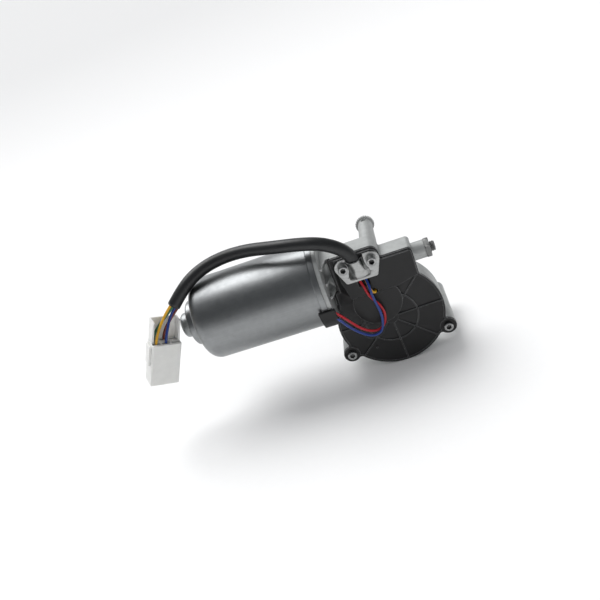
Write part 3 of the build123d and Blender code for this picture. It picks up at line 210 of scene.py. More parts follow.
class MotorForms(bpy.types.PropertyGroup):
    """The sizes of the pieces that are made here."""

    sleeve_diameter: length_setting("Sleeve", "Outer diameter of the sleeve", 12.0)
    sleeve_wall: length_setting("Sleeve wall", "Wall of the sleeve", 1.3)
    lead_diameter: length_setting("Lead", "Diameter of the motor's and the switch's leads", 2.4)
    core_diameter: length_setting("Core", "Diameter of the cores in the sleeve", 2.5)
    adjuster_thread: length_setting("Adjuster thread", "Outer radius of the adjusting screw", 5.0)
    shaft_radius: length_setting("Shaft", "Radius of the output shaft's plain stretch", 7.0)
    cone_radius: length_setting("Cone tip", "Radius of the serrated cone's small end", 5.6)
    pitch: length_setting("Pitch", "Thread pitch of the M10 studs", 1.5)
    thread_depth: length_setting("Thread depth", "Height of a thread above its core", 0.9)
    cast_edge: length_setting("Cast edge", "Rounding of the castings' edges", 0.5)
    moulded_edge: length_setting("Moulded edge", "Rounding of the cover's edges", 0.4)
    pressed_edge: length_setting("Pressed edge", "Rounding of sheet metal edges", 0.3)
    screw_shaft: length_setting("Screw", "Radius of the screws' shafts", 2.5)
    screw_socket: length_setting("Socket", "Width across the flats of the screws' sockets", 4.4)
    saddle_radius: length_setting("Saddle", "Outer radius of the cable clamp's saddle", 7.65)
    can_radius: length_setting("Can", "Radius of the motor can", 39.5)
    can_wall: length_setting("Can wall", "Sheet thickness of the motor can", 2.0)
    can_length: length_setting("Can length", "From the can's open end to its stepped end", 122.8)
    can_shoulder: length_setting("Shoulder", "Rounding between the can's wall and its end", 11.0)
    collar_width: length_setting("Collar", "Width of the rolled collar at the can's open end", 5.3)
    boss_radius: length_setting("End boss", "Radius of the wide step on the can's end", 22.0)
    boss_height: length_setting("End boss height", "Height of the wide step on the can's end", 9.0)
    dome_radius: length_setting("End dome", "Radius of the narrow step on the can's end", 12.0)
    insert_body: length_setting("Insert", "Radius of the pillar insert below its flange", 5.2)
    insert_bore: length_setting("Insert bore", "Radius of the pillar insert's bore", 3.4)
    insert_flange: length_setting("Insert flange", "Thickness of the pillar insert's flange", 2.2)
    serrations: IntProperty(name="Serrations", description="Teeth round the shaft's cone", min=6, default=24)


class StudioSettings(bpy.types.PropertyGroup):
    """The floor and the lights."""

    floor: colour_setting("Floor", "Pale studio floor", "#f4f4f4")
    surroundings: colour_setting("Surroundings", "The dim room round the floor", "#5f6164")
    key_power: FloatProperty(
        name="Key light", description="Strength of the large light overhead", default=2.3
    )
    fill_power: FloatProperty(
        name="Fill light", description="Strength of the light from all round", default=1.3
    )


def add_node(tree, kind, settings=None, **inputs):
    """Adds a node with its settings. Each input is a value or the socket that feeds it."""
    made = tree.nodes.new(kind)
    for name, value in (settings or {}).items():
        setattr(made, name, value)
    for name, value in inputs.items():
        socket = made.inputs[int(name[1:])] if name[1:].isdigit() else made.inputs[name.replace("_", " ")]
        if isinstance(value, bpy.types.NodeSocket):
            tree.links.new(value, socket)
        else:
            socket.default_value = value
    return made


def start_material(name, **surface):
    """A material with its shader, and its coordinates in metres on the piece."""
    material = bpy.data.materials.new(name)
    material.use_nodes = True
    tree = material.node_tree
    tree.nodes.clear()
    shader = add_node(tree, "ShaderNodeBsdfPrincipled", **surface)
    add_node(tree, "ShaderNodeOutputMaterial", Surface=shader.outputs[0])
    place = add_node(tree, "ShaderNodeTexCoord").outputs["Object"]
    return material, tree, shader, place


def mottled(tree, place, size, low, high, detail=4.0, stretch=(1, 1, 1)):
    """Noise between two values. Its patches are about size millimetres wide, before the stretch."""
    stretched = add_node(tree, "ShaderNodeMapping", Vector=place, Scale=stretch).outputs[0]
    noise = add_node(tree, "ShaderNodeTexNoise", Vector=stretched, Scale=1 / (size * MM), Detail=detail)
    # Most of the noise lies between 0.3 and 0.7.
    spread = add_node(
        tree,
        "ShaderNodeMapRange",
        Value=noise.outputs[0],
        From_Min=0.3,
        From_Max=0.7,
        To_Min=low,
        To_Max=high,
    )
    return spread.outputs[0]


def shade(colour, amount):
    return [min(1.0, part * amount) for part in colour]


def lay_finish(tree, shader, tone, colours, roughness=None, height=None, depth=0.0):
    """Feeds the shader a tone between two colours, an uneven roughness and a relief of depth millimetres."""
    first, second = colours
    mix = add_node(tree, "ShaderNodeMix", {"data_type": "RGBA"}, _0=tone, _6=(*first, 1), _7=(*second, 1))
    tree.links.new(mix.outputs[2], shader.inputs["Base Color"])
    if roughness is not None:
        tree.links.new(roughness, shader.inputs["Roughness"])
    if height is not None:
        bump = add_node(tree, "ShaderNodeBump", Height=height, Distance=depth * MM, Strength=1.0)
        tree.links.new(bump.outputs[0], shader.inputs["Normal"])


def die_cast_aluminium(colour):
    """Die-cast aluminium, shot blasted: a fine even grain, soft cloudy tone and a broad dull sheen."""
    material, tree, shader, place = start_material("die_cast_aluminium", Metallic=0.75)
    lay_finish(
        tree,
        shader,
        tone=mottled(tree, place, 9, 0, 1),
        colours=(shade(colour, 0.86), colour),
        roughness=mottled(tree, place, 3, 0.54, 0.68),
        # Shot marks are about 0.3 mm; they are drawn at 0.8 mm so that they show.
        height=mottled(tree, place, 0.8, 0, 1, detail=2),
        depth=0.05,
    )
    return material


def drawn_zinc_steel(colour):
    """Deep-drawn steel with zinc plate: draw lines along the can, faint blooms and a soft long highlight."""
    material, tree, shader, place = start_material("drawn_zinc_steel", Metallic=1.0)
    blooms = mottled(tree, place, 5, 0, 1, detail=6)
    draw_lines = mottled(tree, place, 0.9, 0, 1, stretch=(0.03, 1, 1), detail=3)
    patches = add_node(tree, "ShaderNodeMath", {"operation": "MULTIPLY"}, _0=blooms, _1=0.6).outputs[0]
    both = add_node(tree, "ShaderNodeMath", {"operation": "MULTIPLY_ADD"}, _0=draw_lines, _1=0.4, _2=patches)
    lay_finish(
        tree,
        shader,
        tone=both.outputs[0],
        colours=(shade(colour, 0.9), shade(colour, 1.05)),
        roughness=mottled(tree, place, 6, 0.38, 0.44, detail=3),
        # The sheet's long shallow waves bend the highlight.
        height=mottled(tree, place, 30, 0, 1, stretch=(0.35, 1, 1), detail=1),
        depth=0.3,
    )
    return material


def zinc_plate(name, colour, metal=1.0):
    """Zinc on pressed or turned steel: a clear grey gloss with fine rubbing marks, chalkier as it ages."""
    material, tree, shader, place = start_material(name, Metallic=metal)
    lay_finish(
        tree,
        shader,
        tone=mottled(tree, place, 1.6, 0, 1, stretch=(0.2, 1, 1)),
        colours=(shade(colour, 0.84), colour),
        roughness=mottled(tree, place, 2.2, 0.26, 0.4),
        height=mottled(tree, place, 3.2, 0, 1, detail=2),
        depth=0.03,
    )
    return material


def turned_steel(name, colour, stretch, rough=0.18, metal=1.0):
    """Turned and ground steel: rings round the axis that break the gloss, duller where it is blackened."""
    material, tree, shader, place = start_material(name, Metallic=metal)
    tool_marks = mottled(tree, place, 0.5, 0, 1, stretch=stretch, detail=2)
    lay_finish(
        tree,
        shader,
        tone=tool_marks,
        colours=(shade(colour, 0.8), colour),
        roughness=mottled(tree, place, 2, rough, rough + 0.16),
        height=tool_marks,
        depth=0.01,
    )
    return material


def moulded_plastic(name, colour, rough, grain=0.5, depth=0.02, gloss=0.5):
    """Moulded thermoplastic: an even satin skin with a spark-eroded grain and faint flow marks."""
    material, tree, shader, place = start_material(name, IOR=1.5, Specular_IOR_Level=gloss)
    lay_finish(
        tree,
        shader,
        tone=mottled(tree, place, 14, 0, 1, detail=3),
        colours=(shade(colour, 0.9), shade(colour, 1.12)),
        roughness=mottled(tree, place, 4, rough - 0.06, rough + 0.06),
        height=mottled(tree, place, grain, 0, 1, detail=2),
        depth=depth,
    )
    return material


def extruded_pvc(name, colour, rough):
    """Extruded soft PVC: a smooth waxy skin, a touch lighter where it was handled."""
    material, tree, shader, place = start_material(name, IOR=1.53)
    lay_finish(
        tree,
        shader,
        tone=mottled(tree, place, 7, 0, 1),
        colours=(shade(colour, 0.88), shade(colour, 1.1)),
        roughness=mottled(tree, place, 3, rough - 0.05, rough + 0.08),
        height=mottled(tree, place, 1.5, 0, 1, detail=3),
        depth=0.03,
    )
    return material


def natural_nylon(colour):
    """Unfilled nylon, moulded: milky, lets a little light in and shines softly."""
    material, tree, shader, place = start_material(
        "natural_nylon",
        IOR=1.53,
        Subsurface_Weight=0.35,
        Subsurface_Scale=0.004,
        Subsurface_Radius=(1.0, 0.95, 0.9),
    )
    lay_finish(
        tree,
        shader,
        tone=mottled(tree, place, 8, 0, 1, detail=3),
        colours=(shade(colour, 0.94), colour),
        roughness=mottled(tree, place, 4, 0.3, 0.42),
        height=mottled(tree, place, 2.5, 0, 1, detail=2),
        depth=0.03,
    )
    return material


def sheet_laminations(colour):
    """Stacked electrical steel: dark joints between the sheets, which are 0.5 mm and drawn 1 mm thick."""
    material, tree, shader, place = start_material("sheet_laminations", Metallic=1.0, Roughness=0.45)
    # The texture draws 20 bands in a length of tau / scale.
    sheet, bands = 1.0 * MM, 20
    stack = add_node(
        tree,
        "ShaderNodeTexWave",
        {"wave_type": "BANDS", "bands_direction": "X"},
        Vector=place,
        Scale=math.tau / (bands * sheet),
        Distortion=0.0,
    ).outputs["Fac"]
    lay_finish(tree, shader, tone=stack, colours=(shade(colour, 0.35), colour), height=stack, depth=0.04)
    return material


def plain_metal(name, colour, rough):
    """Stamped, sintered or wound metal: small spots of tone and an uneven gloss."""
    material, tree, shader, place = start_material(name, Metallic=1.0)
    spots = mottled(tree, place, 1.2, 0, 1)
    lay_finish(
        tree,
        shader,
        tone=spots,
        colours=(shade(colour, 0.75), colour),
        roughness=mottled(tree, place, 1.5, rough - 0.08, rough + 0.08),
        height=spots,
        depth=0.02,
    )
    return material


def matt_studio_paper(colour):
    """Pressed paper for a studio floor: matt, with a faint cloud of fibres."""
    material, tree, shader, place = start_material("matt_studio_paper", Roughness=0.9)
    lay_finish(tree, shader, tone=mottled(tree, place, 4, 0, 1), colours=(shade(colour, 0.99), colour))
    return material


def paint(node, material):
    """Gives a CAD node its material."""
    piece = frame["nodes"][node]
    for slot in piece.material_slots:
        slot.material = material
    if not piece.material_slots:
        piece.data.materials.append(material)


def finish_piece(name, shape, material, body, nodes=(), angle=32):
    """Makes a bmesh into a piece on a body, which may stand for nodes. Edges up to an angle look smooth."""
    bmesh.ops.recalc_face_normals(shape, faces=shape.faces)
    mesh = bpy.data.meshes.new(name)
    shape.to_mesh(mesh)
    shape.free()
    mesh.materials.append(material)
    mesh.polygons.foreach_set("use_smooth", [True] * len(mesh.polygons))
    mesh.set_sharp_from_angle(angle=math.radians(angle))
    piece = bpy.data.objects.new(name, mesh)
    bpy.context.scene.collection.objects.link(piece)
    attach(piece, body)
    if nodes:
        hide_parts(*nodes)
    return piece


def rounded_copy(node, name, material, width, painted_edge_highlight=None):
    """Stands for a CAD node: its shape with the outer edges rounded, and the rounding given a painted
    highlight if a finish is given.
    """
    weld, sharp = 0.004 * MM, math.radians(28)
    shape = bmesh.new()
    shape.from_mesh(frame["nodes"][node].data)
    bmesh.ops.remove_doubles(shape, verts=shape.verts, dist=weld)
    bmesh.ops.recalc_face_normals(shape, faces=shape.faces)
    edges = [edge for edge in shape.edges if edge.is_convex and edge.calc_face_angle(0) > sharp]
    # With a finish given, the rounded edges take it as a painted highlight.
    bmesh.ops.bevel(
        shape,
        geom=edges,
        offset=width,
        segments=2,
        profile=0.6,
        affect="EDGES",
        clamp_overlap=False,
        material=1 if painted_edge_highlight else -1,
    )
    piece = finish_piece(name, shape, material, "housing", [node], angle=40)
    if painted_edge_highlight:
        piece.data.materials.append(painted_edge_highlight)
    # Flat faces keep their own normals, so that only the rounded edges shade round.
    normals = piece.modifiers.new("Flat faces", "WEIGHTED_NORMAL")
    normals.weight = 100
    normals.keep_sharp = True
    return piece


def turned(rings, place, steps=96, closed=False, shape=None):
    """A shape of rings round place's Z axis. A ring's distance and radius may each depend on the angle."""
    shape = shape or bmesh.new()
    rows = []
    for distance, radius in rings:
        row = []
        for step in range(steps):
            angle = math.tau * step / steps
            reach = radius(angle) if callable(radius) else radius
            along = distance(angle) if callable(distance) else distance
            spot = Vector((reach * math.cos(angle), reach * math.sin(angle), along))
            row.append(shape.verts.new(place @ spot))
        rows.append(row)
    pairs = list(zip(rows, rows[1:]))
    if closed:
        pairs.append((rows[-1], rows[0]))
    else:
        shape.faces.new(list(reversed(rows[0])))
        shape.faces.new(rows[-1])
    for low, high in pairs:
        for step in range(steps):
            after = (step + 1) % steps
            shape.faces.new((low[step], low[after], high[after], high[step]))
    return shape


def hexagon(width, turn=0.0):
    """The radius of a hexagon with that width across its flats, at an angle."""
    sector = math.radians(60)
    return lambda angle: width / 2 / math.cos((angle + turn + sector / 2) % sector - sector / 2)


def within(radius, limit):
    """A radius that a turning tool cuts down to the limit."""
    return lambda angle: min(radius(angle), limit)


def teeth(count, outer, depth):
    """The radius of a ring of pointed teeth."""
    return lambda angle: outer - depth * abs(2 * ((angle * count / math.tau) % 1) - 1)


def thread_radius(distance, crest, forms, limit):
    """The radius of a right-hand thread at a distance, at most the limit."""

    def radius(angle):
        across = abs(2 * ((distance / forms.pitch - angle / math.tau) % 1) - 1)
        # A sixth of the pitch is crest and a sixth is root, with straight flanks between them.
        height = min(1.0, max(0.0, 1.25 - 1.5 * across))
        return min(limit, crest - forms.thread_depth * (1 - height))

    return radius


def thread_rings(start, end, crest, forms, chamfer):
    """Rings of a thread between two distances, with its far end chamfered."""
    rings_per_turn = 10
    count = round((end - start) / forms.pitch * rings_per_turn)
    rings = []
    for number in range(count + 1):
        distance = start + (end - start) * number / count
        limit = crest - max(0.0, distance - (end - chamfer))
        rings.append((distance, thread_radius(distance, crest, forms, limit)))
    return rings


def rounded_profile(corners, steps=10):
    """Rings for a turned shape. Each corner has a distance, a radius and its rounding, save the two ends."""
    profile = [corners[0]]
    for before, (distance, radius, rounding), after in zip(corners, corners[1:], corners[2:]):
        here = Vector((distance, radius))
        back = (Vector(before[:2]) - here).normalized()
        on = (Vector(after[:2]) - here).normalized()
        half = back.angle(on) / 2
        reach = rounding / math.tan(half)
        centre = here + (back + on).normalized() * rounding / math.sin(half)
        first, last = here + back * reach - centre, here + on * reach - centre
        turn = first.angle(last)
        side = 1 if first.x * last.y - first.y * last.x > 0 else -1
        for step in range(steps + 1):
            profile.append(tuple(centre + Matrix.Rotation(side * turn * step / steps, 2) @ first))
    profile.append(corners[-1])
    return profile


def socket_screws(node, head, depth, forms):
    """A node's two socket head screws, from their heads down. Their sockets take the second material, a
    painted shade.
    """
    low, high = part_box(node)
    rim, reach = (high.z - low.z) / 2, high.y - low.y
    shaft, socket, chamfer = forms.screw_shaft, forms.screw_socket, 0.3 * MM
    # A hexagon's corners lie at 0.577 of its width.
    socket_reach = 0.58 * socket
    rings = [
        (depth, POINT),
        (depth, hexagon(socket)),
        (chamfer, hexagon(socket)),
        (0, socket / 2 + 0.7 * MM),
        (0, rim - 0.9 * MM),
        (0.2 * MM, rim - 0.4 * MM),
        (0.7 * MM, rim),
        (head, rim),
        (head, shaft),
        (reach, shaft),
    ]
    shape = bmesh.new()
    for x in (low.x + rim, high.x - rim):
        place = Matrix.Translation((x, low.y, (low.z + high.z) / 2)) @ SHAFT_LINE
        turned(rings, place, steps=72, shape=shape)
        for face in shape.faces:
            spot = place.inverted() @ face.calc_center_median()
            if math.hypot(spot.x, spot.y) < socket_reach and chamfer < spot.z < head:
                face.material_index = 1
    return shape


def eased(value):
    """A share between 0 and 1 that starts and ends smoothly."""
    share = min(1.0, max(0.0, value))
    return share * share * (3 - 2 * share)


def saddle_shape(centre, radius):
    """The clamp's saddle in front. It rises from the strip, closes its foot and arches over the sleeve."""
    foot, shoulder, top = centre.z - 4.2 * MM, centre.z + 0.4 * MM, centre.z + 16.4 * MM
    bend, lean = centre.z + 8 * MM, -1.5 * MM
    narrow, flare, flare_height = 8.1 * MM, 1.9 * MM, 6 * MM
    # Over 1, it makes the arch fuller than a cosine.
    fullness = 1.15
    levels = [foot + (shoulder - foot) * step / 8 for step in range(9)]
    levels += [foot + (top - foot) * step / 24 for step in range(9, 25)]
    columns = [number / 16 for number in range(-16, 17)]
    shape = bmesh.new()
    rows = []
    for level in levels:
        rise = eased((level - foot) / (shoulder - foot))
        middle = centre.x + lean * max(0.0, (level - bend) / (top - bend))
        half_width = narrow + flare * eased((bend - level) / flare_height)
        row = []
        for across in columns:
            bell = math.cos(math.radians(90) * abs(across) ** fullness)
            spot = (middle + half_width * across, centre.y - radius * bell * rise, level)
            row.append(shape.verts.new(spot))
        rows.append(row)
    for low, high in zip(rows, rows[1:]):
        for number in range(len(columns) - 1):
            shape.faces.new((low[number], low[number + 1], high[number + 1], high[number]))
    return shape


def cord_piece(name, route, diameter, material, node, wall=None):
    """A smooth cord on its route. With a wall it is a sleeve, open at its end."""
    curve = bpy.data.curves.new(name, "CURVE")
    curve.dimensions = "3D"
    spline = curve.splines.new("NURBS")
    spline.points.add(len(route) - 1)
    for point, place in zip(spline.points, route):
        point.co = (*place, 1)
    spline.order_u = 3
    spline.use_endpoint_u = True
    spline.resolution_u = 14
    curve.bevel_depth = diameter / 2
    curve.bevel_resolution = 10 if wall else 5
    curve.use_fill_caps = wall is None
    curve.materials.append(material)
    piece = bpy.data.objects.new(name, curve)
    bpy.context.scene.collection.objects.link(piece)
    if wall:
        shell = piece.modifiers.new("Wall", "SOLIDIFY")
        shell.thickness = wall
        shell.offset = -1
    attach(piece, "housing")
    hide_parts(node)
    return piece


class MotorOperator:
    """What the operators share."""

    bl_options = {"REGISTER", "UNDO"}

    @property
    def finishes(self):
        return bpy.context.scene.motor_finishes

    @property
    def forms(self):
        return bpy.context.scene.motor_forms


class MOTOR_OT_castings(MotorOperator, bpy.types.Operator):
    """Gives the gear housing, the motor flange and the pillars their cast edges and finish"""

    bl_idname = "motor.castings"
    bl_label = "Castings"

    def execute(self, context):
        material = die_cast_aluminium(self.finishes.casting)
        rounded_copy("gear_housing", "gear_housing_casting", material, self.forms.cast_edge)
        rounded_copy("motor_flange", "motor_flange_casting", material, self.forms.cast_edge)
        rounded_copy("mounting_pillars", "pillar_castings", material, self.forms.cast_edge)
        return {"FINISHED"}


class MOTOR_OT_cover(MotorOperator, bpy.types.Operator):
    """Gives the gear cover and the lead outlet their moulded edges and finish"""

    bl_idname = "motor.cover"
    bl_label = "Gear Cover"

    def execute(self, context):
        material = moulded_plastic("glass_filled_nylon", self.finishes.cover, 0.36, gloss=0.38)
        # The edges' pale colour is a painted highlight on the rounding, which draws the ribs.
        edges = moulded_plastic("nylon_edges_painted_highlight", self.finishes.painted_edge_highlight, 0.24, gloss=0.8)
        rounded_copy("gear_cover", "gear_cover_moulding", material, self.forms.moulded_edge, edges)
        rounded_copy("lead_outlet", "lead_outlet_moulding", material, self.forms.moulded_edge)
        return {"FINISHED"}


class MOTOR_OT_clamp(MotorOperator, bpy.types.Operator):
    """Presses the cable clamp's saddle, and plates the clamp, its washers and all the screws"""

    bl_idname = "motor.clamp"
    bl_label = "Clamp and Screws"

    def execute(self, context):
        forms, zinc = self.forms, self.finishes.zinc
        plate = zinc_plate("bright_zinc_plate", zinc)
        rounded_copy("cable_clamp", "cable_clamp_pressing", plate, forms.pressed_edge)
        rounded_copy("clamp_washers", "clamp_washers_plated", plate, forms.pressed_edge)
        # The sockets' dark steel is painted shade in the recesses.
        painted_socket_shade = turned_steel("socket_painted_shade", shade(zinc, 0.3), (1, 0.1, 0.1), rough=0.4)
        for node, head, depth in (
            ("clamp_screws", 5.0 * MM, 3.4 * MM),
            ("cover_screws", 3.2 * MM, 2.2 * MM),
        ):
            shape = socket_screws(node, head, depth, forms)
            screws = finish_piece(f"{node}_plated", shape, plate, "housing", [node])
            screws.data.materials.append(painted_socket_shade)
        shape = saddle_shape(Vector(SLEEVE_ROUTE[0]), forms.saddle_radius)
        saddle = finish_piece("clamp_saddle", shape, plate, "housing")
        sheet = saddle.modifiers.new("Sheet", "SOLIDIFY")
        sheet.thickness = 0.8 * MM
        sheet.offset = -1
        return {"FINISHED"}


class MOTOR_OT_can(MotorOperator, bpy.types.Operator):
    """Spins the motor can with its rolled collar, round shoulder and stepped end"""

    bl_idname = "motor.can"
    bl_label = "Motor Can"

    def execute(self, context):
        forms = self.forms
        radius, wall, shoulder = forms.can_radius, forms.can_wall, forms.can_shoulder
        boss, dome = forms.boss_radius, forms.dome_radius
        low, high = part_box("motor_can")
        collar = (high.z - low.z) / 2
        open_end, dome_end = -high.x, -low.x
        collar_end = open_end + forms.collar_width
        wall_end = open_end + forms.can_length
        boss_end = wall_end + forms.boss_height
        outer = rounded_profile(
            [
                (open_end, collar),
                (collar_end, collar, 0.9 * MM),
                (collar_end, radius, 0.8 * MM),
                (wall_end, radius, shoulder),
                (wall_end, boss, 1.6 * MM),
                (boss_end, boss, 2.5 * MM),
                (boss_end, dome, 1.5 * MM),
                (dome_end, dome, 3.5 * MM),
                (dome_end, POINT),
            ]
        )
        inner = [
            (dome_end - wall, POINT),
            (dome_end - wall, dome - wall),
            (boss_end - wall, dome - wall),
            (boss_end - wall, boss - wall),
            (wall_end - wall, boss - wall),
            (wall_end - wall, radius - shoulder),
            (wall_end - shoulder, radius - wall),
            (open_end, radius - wall),
        ]
        shape = turned(outer + inner, CAN_LINE, steps=160, closed=True)
        steel = drawn_zinc_steel(self.finishes.can)
        finish_piece("motor_can_shell", shape, steel, "housing", ["motor_can"])
        return {"FINISHED"}


class MOTOR_OT_adjuster(MotorOperator, bpy.types.Operator):
    """Cuts the adjusting screw's thread and socket, and turns its lock nut"""

    bl_idname = "motor.adjuster"
    bl_label = "Adjuster"

    def execute(self, context):
        forms = self.forms
        crest, root = forms.adjuster_thread, forms.adjuster_thread - forms.thread_depth
        steel = turned_steel(
            "blackened_turned_steel", shade(self.finishes.zinc, 0.52), (1, 0.1, 0.1), rough=0.38, metal=0.5
        )
        low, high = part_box("adjusting_screw")
        socket, socket_depth = hexagon(5 * MM), 4 * MM
        rings = [(low.x, root)]
        rings += thread_rings(low.x + 0.1 * MM, high.x, crest, forms, chamfer=1.1 * MM)
        rings += [(high.x, socket), (high.x - socket_depth, socket)]
        stud = turned(rings, ARMATURE_LINE)
        finish_piece("adjusting_stud", stud, steel, "housing", ["adjusting_screw"])
        low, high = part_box("lock_nut")
        width, chamfer, countersink = high.z - low.z, 0.8 * MM, 0.7 * MM
        flats = hexagon(width, math.radians(30))
        # The nut's faces are turned to a circle just wider than its flats.
        face = within(flats, 1.02 * width / 2)
        rings = [
            (low.x, crest),
            (low.x, face),
            (low.x + chamfer, flats),
            (high.x - chamfer, flats),
            (high.x, face),
            (high.x, crest + countersink),
            (high.x - countersink, crest),
        ]
        nut = turned(rings, ARMATURE_LINE, closed=True)
        finish_piece("adjuster_lock_nut", nut, steel, "housing", ["lock_nut"])
        return {"FINISHED"}


class MOTOR_OT_insert(MotorOperator, bpy.types.Operator):
    """Cuts the top pillar's insert with a serrated flange"""

    bl_idname = "motor.insert"
    bl_label = "Pillar Insert"

    def execute(self, context):
        forms, tooth_count, notch = self.forms, 24, 0.5 * MM
        low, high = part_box("pillar_insert")
        middle, flange = (low + high) / 2, (high.x - low.x) / 2
        place = Matrix.Translation((middle.x, 0, middle.z)) @ SHAFT_LINE
        thickness, chamfer = forms.insert_flange, 0.4 * MM
        bore, body, lead_in = forms.insert_bore, forms.insert_body, 0.6 * MM
        bore_bottom, drill_tip = low.y + 2.2 * MM, low.y + 1 * MM
        rim = teeth(tooth_count, flange, notch)
        serrated = teeth(tooth_count, -thickness, 0.9 * MM)
        rings = [
            (low.y, body),
            (-thickness, body),
            (-thickness, body + 1 * MM),
            (serrated, flange - 0.8 * MM),
            (lambda angle: serrated(angle) + chamfer, rim),
            (-chamfer, rim),
            (0, teeth(tooth_count, flange - notch, notch)),
            (0, bore + lead_in),
            (-lead_in, bore),
            (bore_bottom, bore),
            (drill_tip, POINT),
            (low.y, POINT),
        ]
        shape = turned(rings, place, steps=192, closed=True)
        plate = zinc_plate("aged_zinc_plate", shade(self.finishes.zinc, 1.4), metal=0.1)
        finish_piece("serrated_insert", shape, plate, "housing", ["pillar_insert"])
        return {"FINISHED"}


class MOTOR_OT_output_shaft(MotorOperator, bpy.types.Operator):
    """Turns the output shaft with its serrated cone and threaded end"""

    bl_idname = "motor.output_shaft"
    bl_label = "Output Shaft"

    def execute(self, context):
        forms = self.forms
        low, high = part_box("output_shaft")
        groove_start, groove_end = (corner.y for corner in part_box("shaft_circlip"))
        radius, groove_depth, chamfer = forms.shaft_radius, 0.6 * MM, 0.6 * MM
        cone_start, cone_end, undercut, notch = 10 * MM, 22 * MM, 0.4 * MM, 0.5 * MM
        crest, root = forms.adjuster_thread, forms.adjuster_thread - forms.thread_depth
        rings = [
            (low.y, radius - chamfer),
            (low.y + chamfer, radius),
            (groove_start, radius),
            (groove_start, radius - groove_depth),
            (groove_end, radius - groove_depth),
            (groove_end, radius),
            (cone_start - undercut, radius),
            (cone_start, teeth(forms.serrations, radius, notch)),
            (cone_end, teeth(forms.serrations, forms.cone_radius, notch)),
            (cone_end, root),
        ]
        rings += thread_rings(cone_end + undercut, high.y, crest, forms, chamfer=1.2 * MM)
        shape = turned(rings, SHAFT_LINE, steps=192)
        steel = turned_steel("ground_shaft_steel", shade(self.finishes.zinc, 0.9), (0.05, 1, 0.05))
        finish_piece("output_shaft_turned", shape, steel, "output", ["output_shaft"])
        return {"FINISHED"}


class MOTOR_OT_cords(MotorOperator, bpy.types.Operator):
    """Lays the sleeve, the cores and the leads, and finishes the connector"""

    bl_idname = "motor.cords"
    bl_label = "Sleeve, Leads and Connector"

    def execute(self, context):
        forms, finishes = self.forms, self.finishes
        sleeve = cord_piece(
            "cable_sleeve",
            SLEEVE_ROUTE,
            forms.sleeve_diameter,
            extruded_pvc("black_pvc_sleeve", finishes.sleeve, 0.42),
            "sleeve",
            forms.sleeve_wall,
        )
        insulation = {
            name: extruded_pvc(f"pvc_insulation_{name}", getattr(finishes, name), 0.32)
            for name in ("red", "blue", "yellow", "green", "brown")
        }
        for name, route, length in (("red", RED_ROUTE, 0.123), ("blue", BLUE_ROUTE, 0.116)):
            lead = cord_piece(
                f"motor_lead_{name}",
                route,
                forms.lead_diameter,
                insulation[name],
                f"{name}_lead",
            )
        cord_piece(
            "switch_lead_yellow",
            YELLOW_ROUTE,
            forms.lead_diameter,
            insulation["yellow"],
            "yellow_lead",
        )
        connector = rounded_copy(
            "connector_housing", "connector_moulding", natural_nylon(finishes.connector), forms.moulded_edge
        )
        paint("connector_terminals", plain_metal("tinned_brass", linear("#cfcab8"), 0.3))
        for name, route in CORE_ROUTES.items():
            core = cord_piece(
                f"core_{name}_insulated",
                route,
                forms.core_diameter,
                insulation[name],
                f"core_{name}",
            )
        return {"FINISHED"}


class MOTOR_OT_inner_pieces(MotorOperator, bpy.types.Operator):
    """Finishes the pieces inside the can and the gear housing"""

    bl_idname = "motor.inner_pieces"
    bl_label = "Inner Pieces"

    def execute(self, context):
        black_rubber = moulded_plastic("nitrile_rubber", linear("#1a1a1a"), 0.65)
        acetal = moulded_plastic("moulded_acetal", linear("#e4dfcf"), 0.38)
        phenolic = moulded_plastic("phenolic_moulding", linear("#1d1b1a"), 0.45)
        ferrite = moulded_plastic("sintered_ferrite", linear("#3b3b3d"), 0.6, depth=0.05)
        carbon = moulded_plastic("pressed_carbon", linear("#262627"), 0.55)
        bronze = plain_metal("sintered_bronze", linear("#a37a3e"), 0.5)
        brass = plain_metal("stamped_brass", linear("#d0ad5c"), 0.32)
        copper = plain_metal("enamelled_copper", linear("#b4622f"), 0.36)
        spring = plain_metal("tempered_spring_steel", linear("#8d8f92"), 0.35)
        ground = turned_steel("ground_steel", linear("#c2c3c4"), (1, 0.05, 0.05))
        groups = (
            (black_rubber, ("case_gasket", "shaft_seal")),
            (acetal, ("worm_wheel", "thrust_pad", "thrust_washer")),
            (phenolic, ("brush_plate", "contact_base")),
            (ferrite, ("field_magnets",)),
            (carbon, ("carbon_brushes",)),
            (bronze, ("shaft_bush_inner", "shaft_bush_outer", "rear_bush", "end_bush")),
            (brass, ("brush_boxes", "park_contacts", "park_disc")),
            (copper, ("windings", "commutator")),
            (spring, ("magnet_clips", "brush_springs", "shaft_circlip")),
            (
                ground,
                (
                    "armature_shaft",
                    "bearing_outer_ring",
                    "bearing_inner_ring",
                    "bearing_balls",
                    "wheel_hub",
                    "shaft_washer",
                ),
            ),
            (sheet_laminations(linear("#86888b")), ("armature_core",)),
        )
        for material, nodes in groups:
            for node in nodes:
                paint(node, material)
        return {"FINISHED"}


def sweep_shape(level):
    """A sheet of studio paper at a level. It lies flat, then bends and slopes up behind the motor."""
    half_width, front, back, bend, slope_run, rise = 14.0, -14.0, 1.2, 1.5, 6.0, math.radians(35)
    profile = [(front, 0.0), (back, 0.0)]
    for step in range(1, 17):
        angle = rise * step / 16
        profile.append((back + bend * math.sin(angle), bend * (1 - math.cos(angle))))
    top_y, top_z = profile[-1]
    profile.append((top_y + slope_run, top_z + slope_run * math.tan(rise)))
    shape = bmesh.new()
    left, right = [
        [shape.verts.new((side * half_width, y, level + z)) for y, z in profile] for side in (-1, 1)
    ]
    for number in range(len(profile) - 1):
        shape.faces.new((left[number], right[number], right[number + 1], left[number + 1]))
    return shape


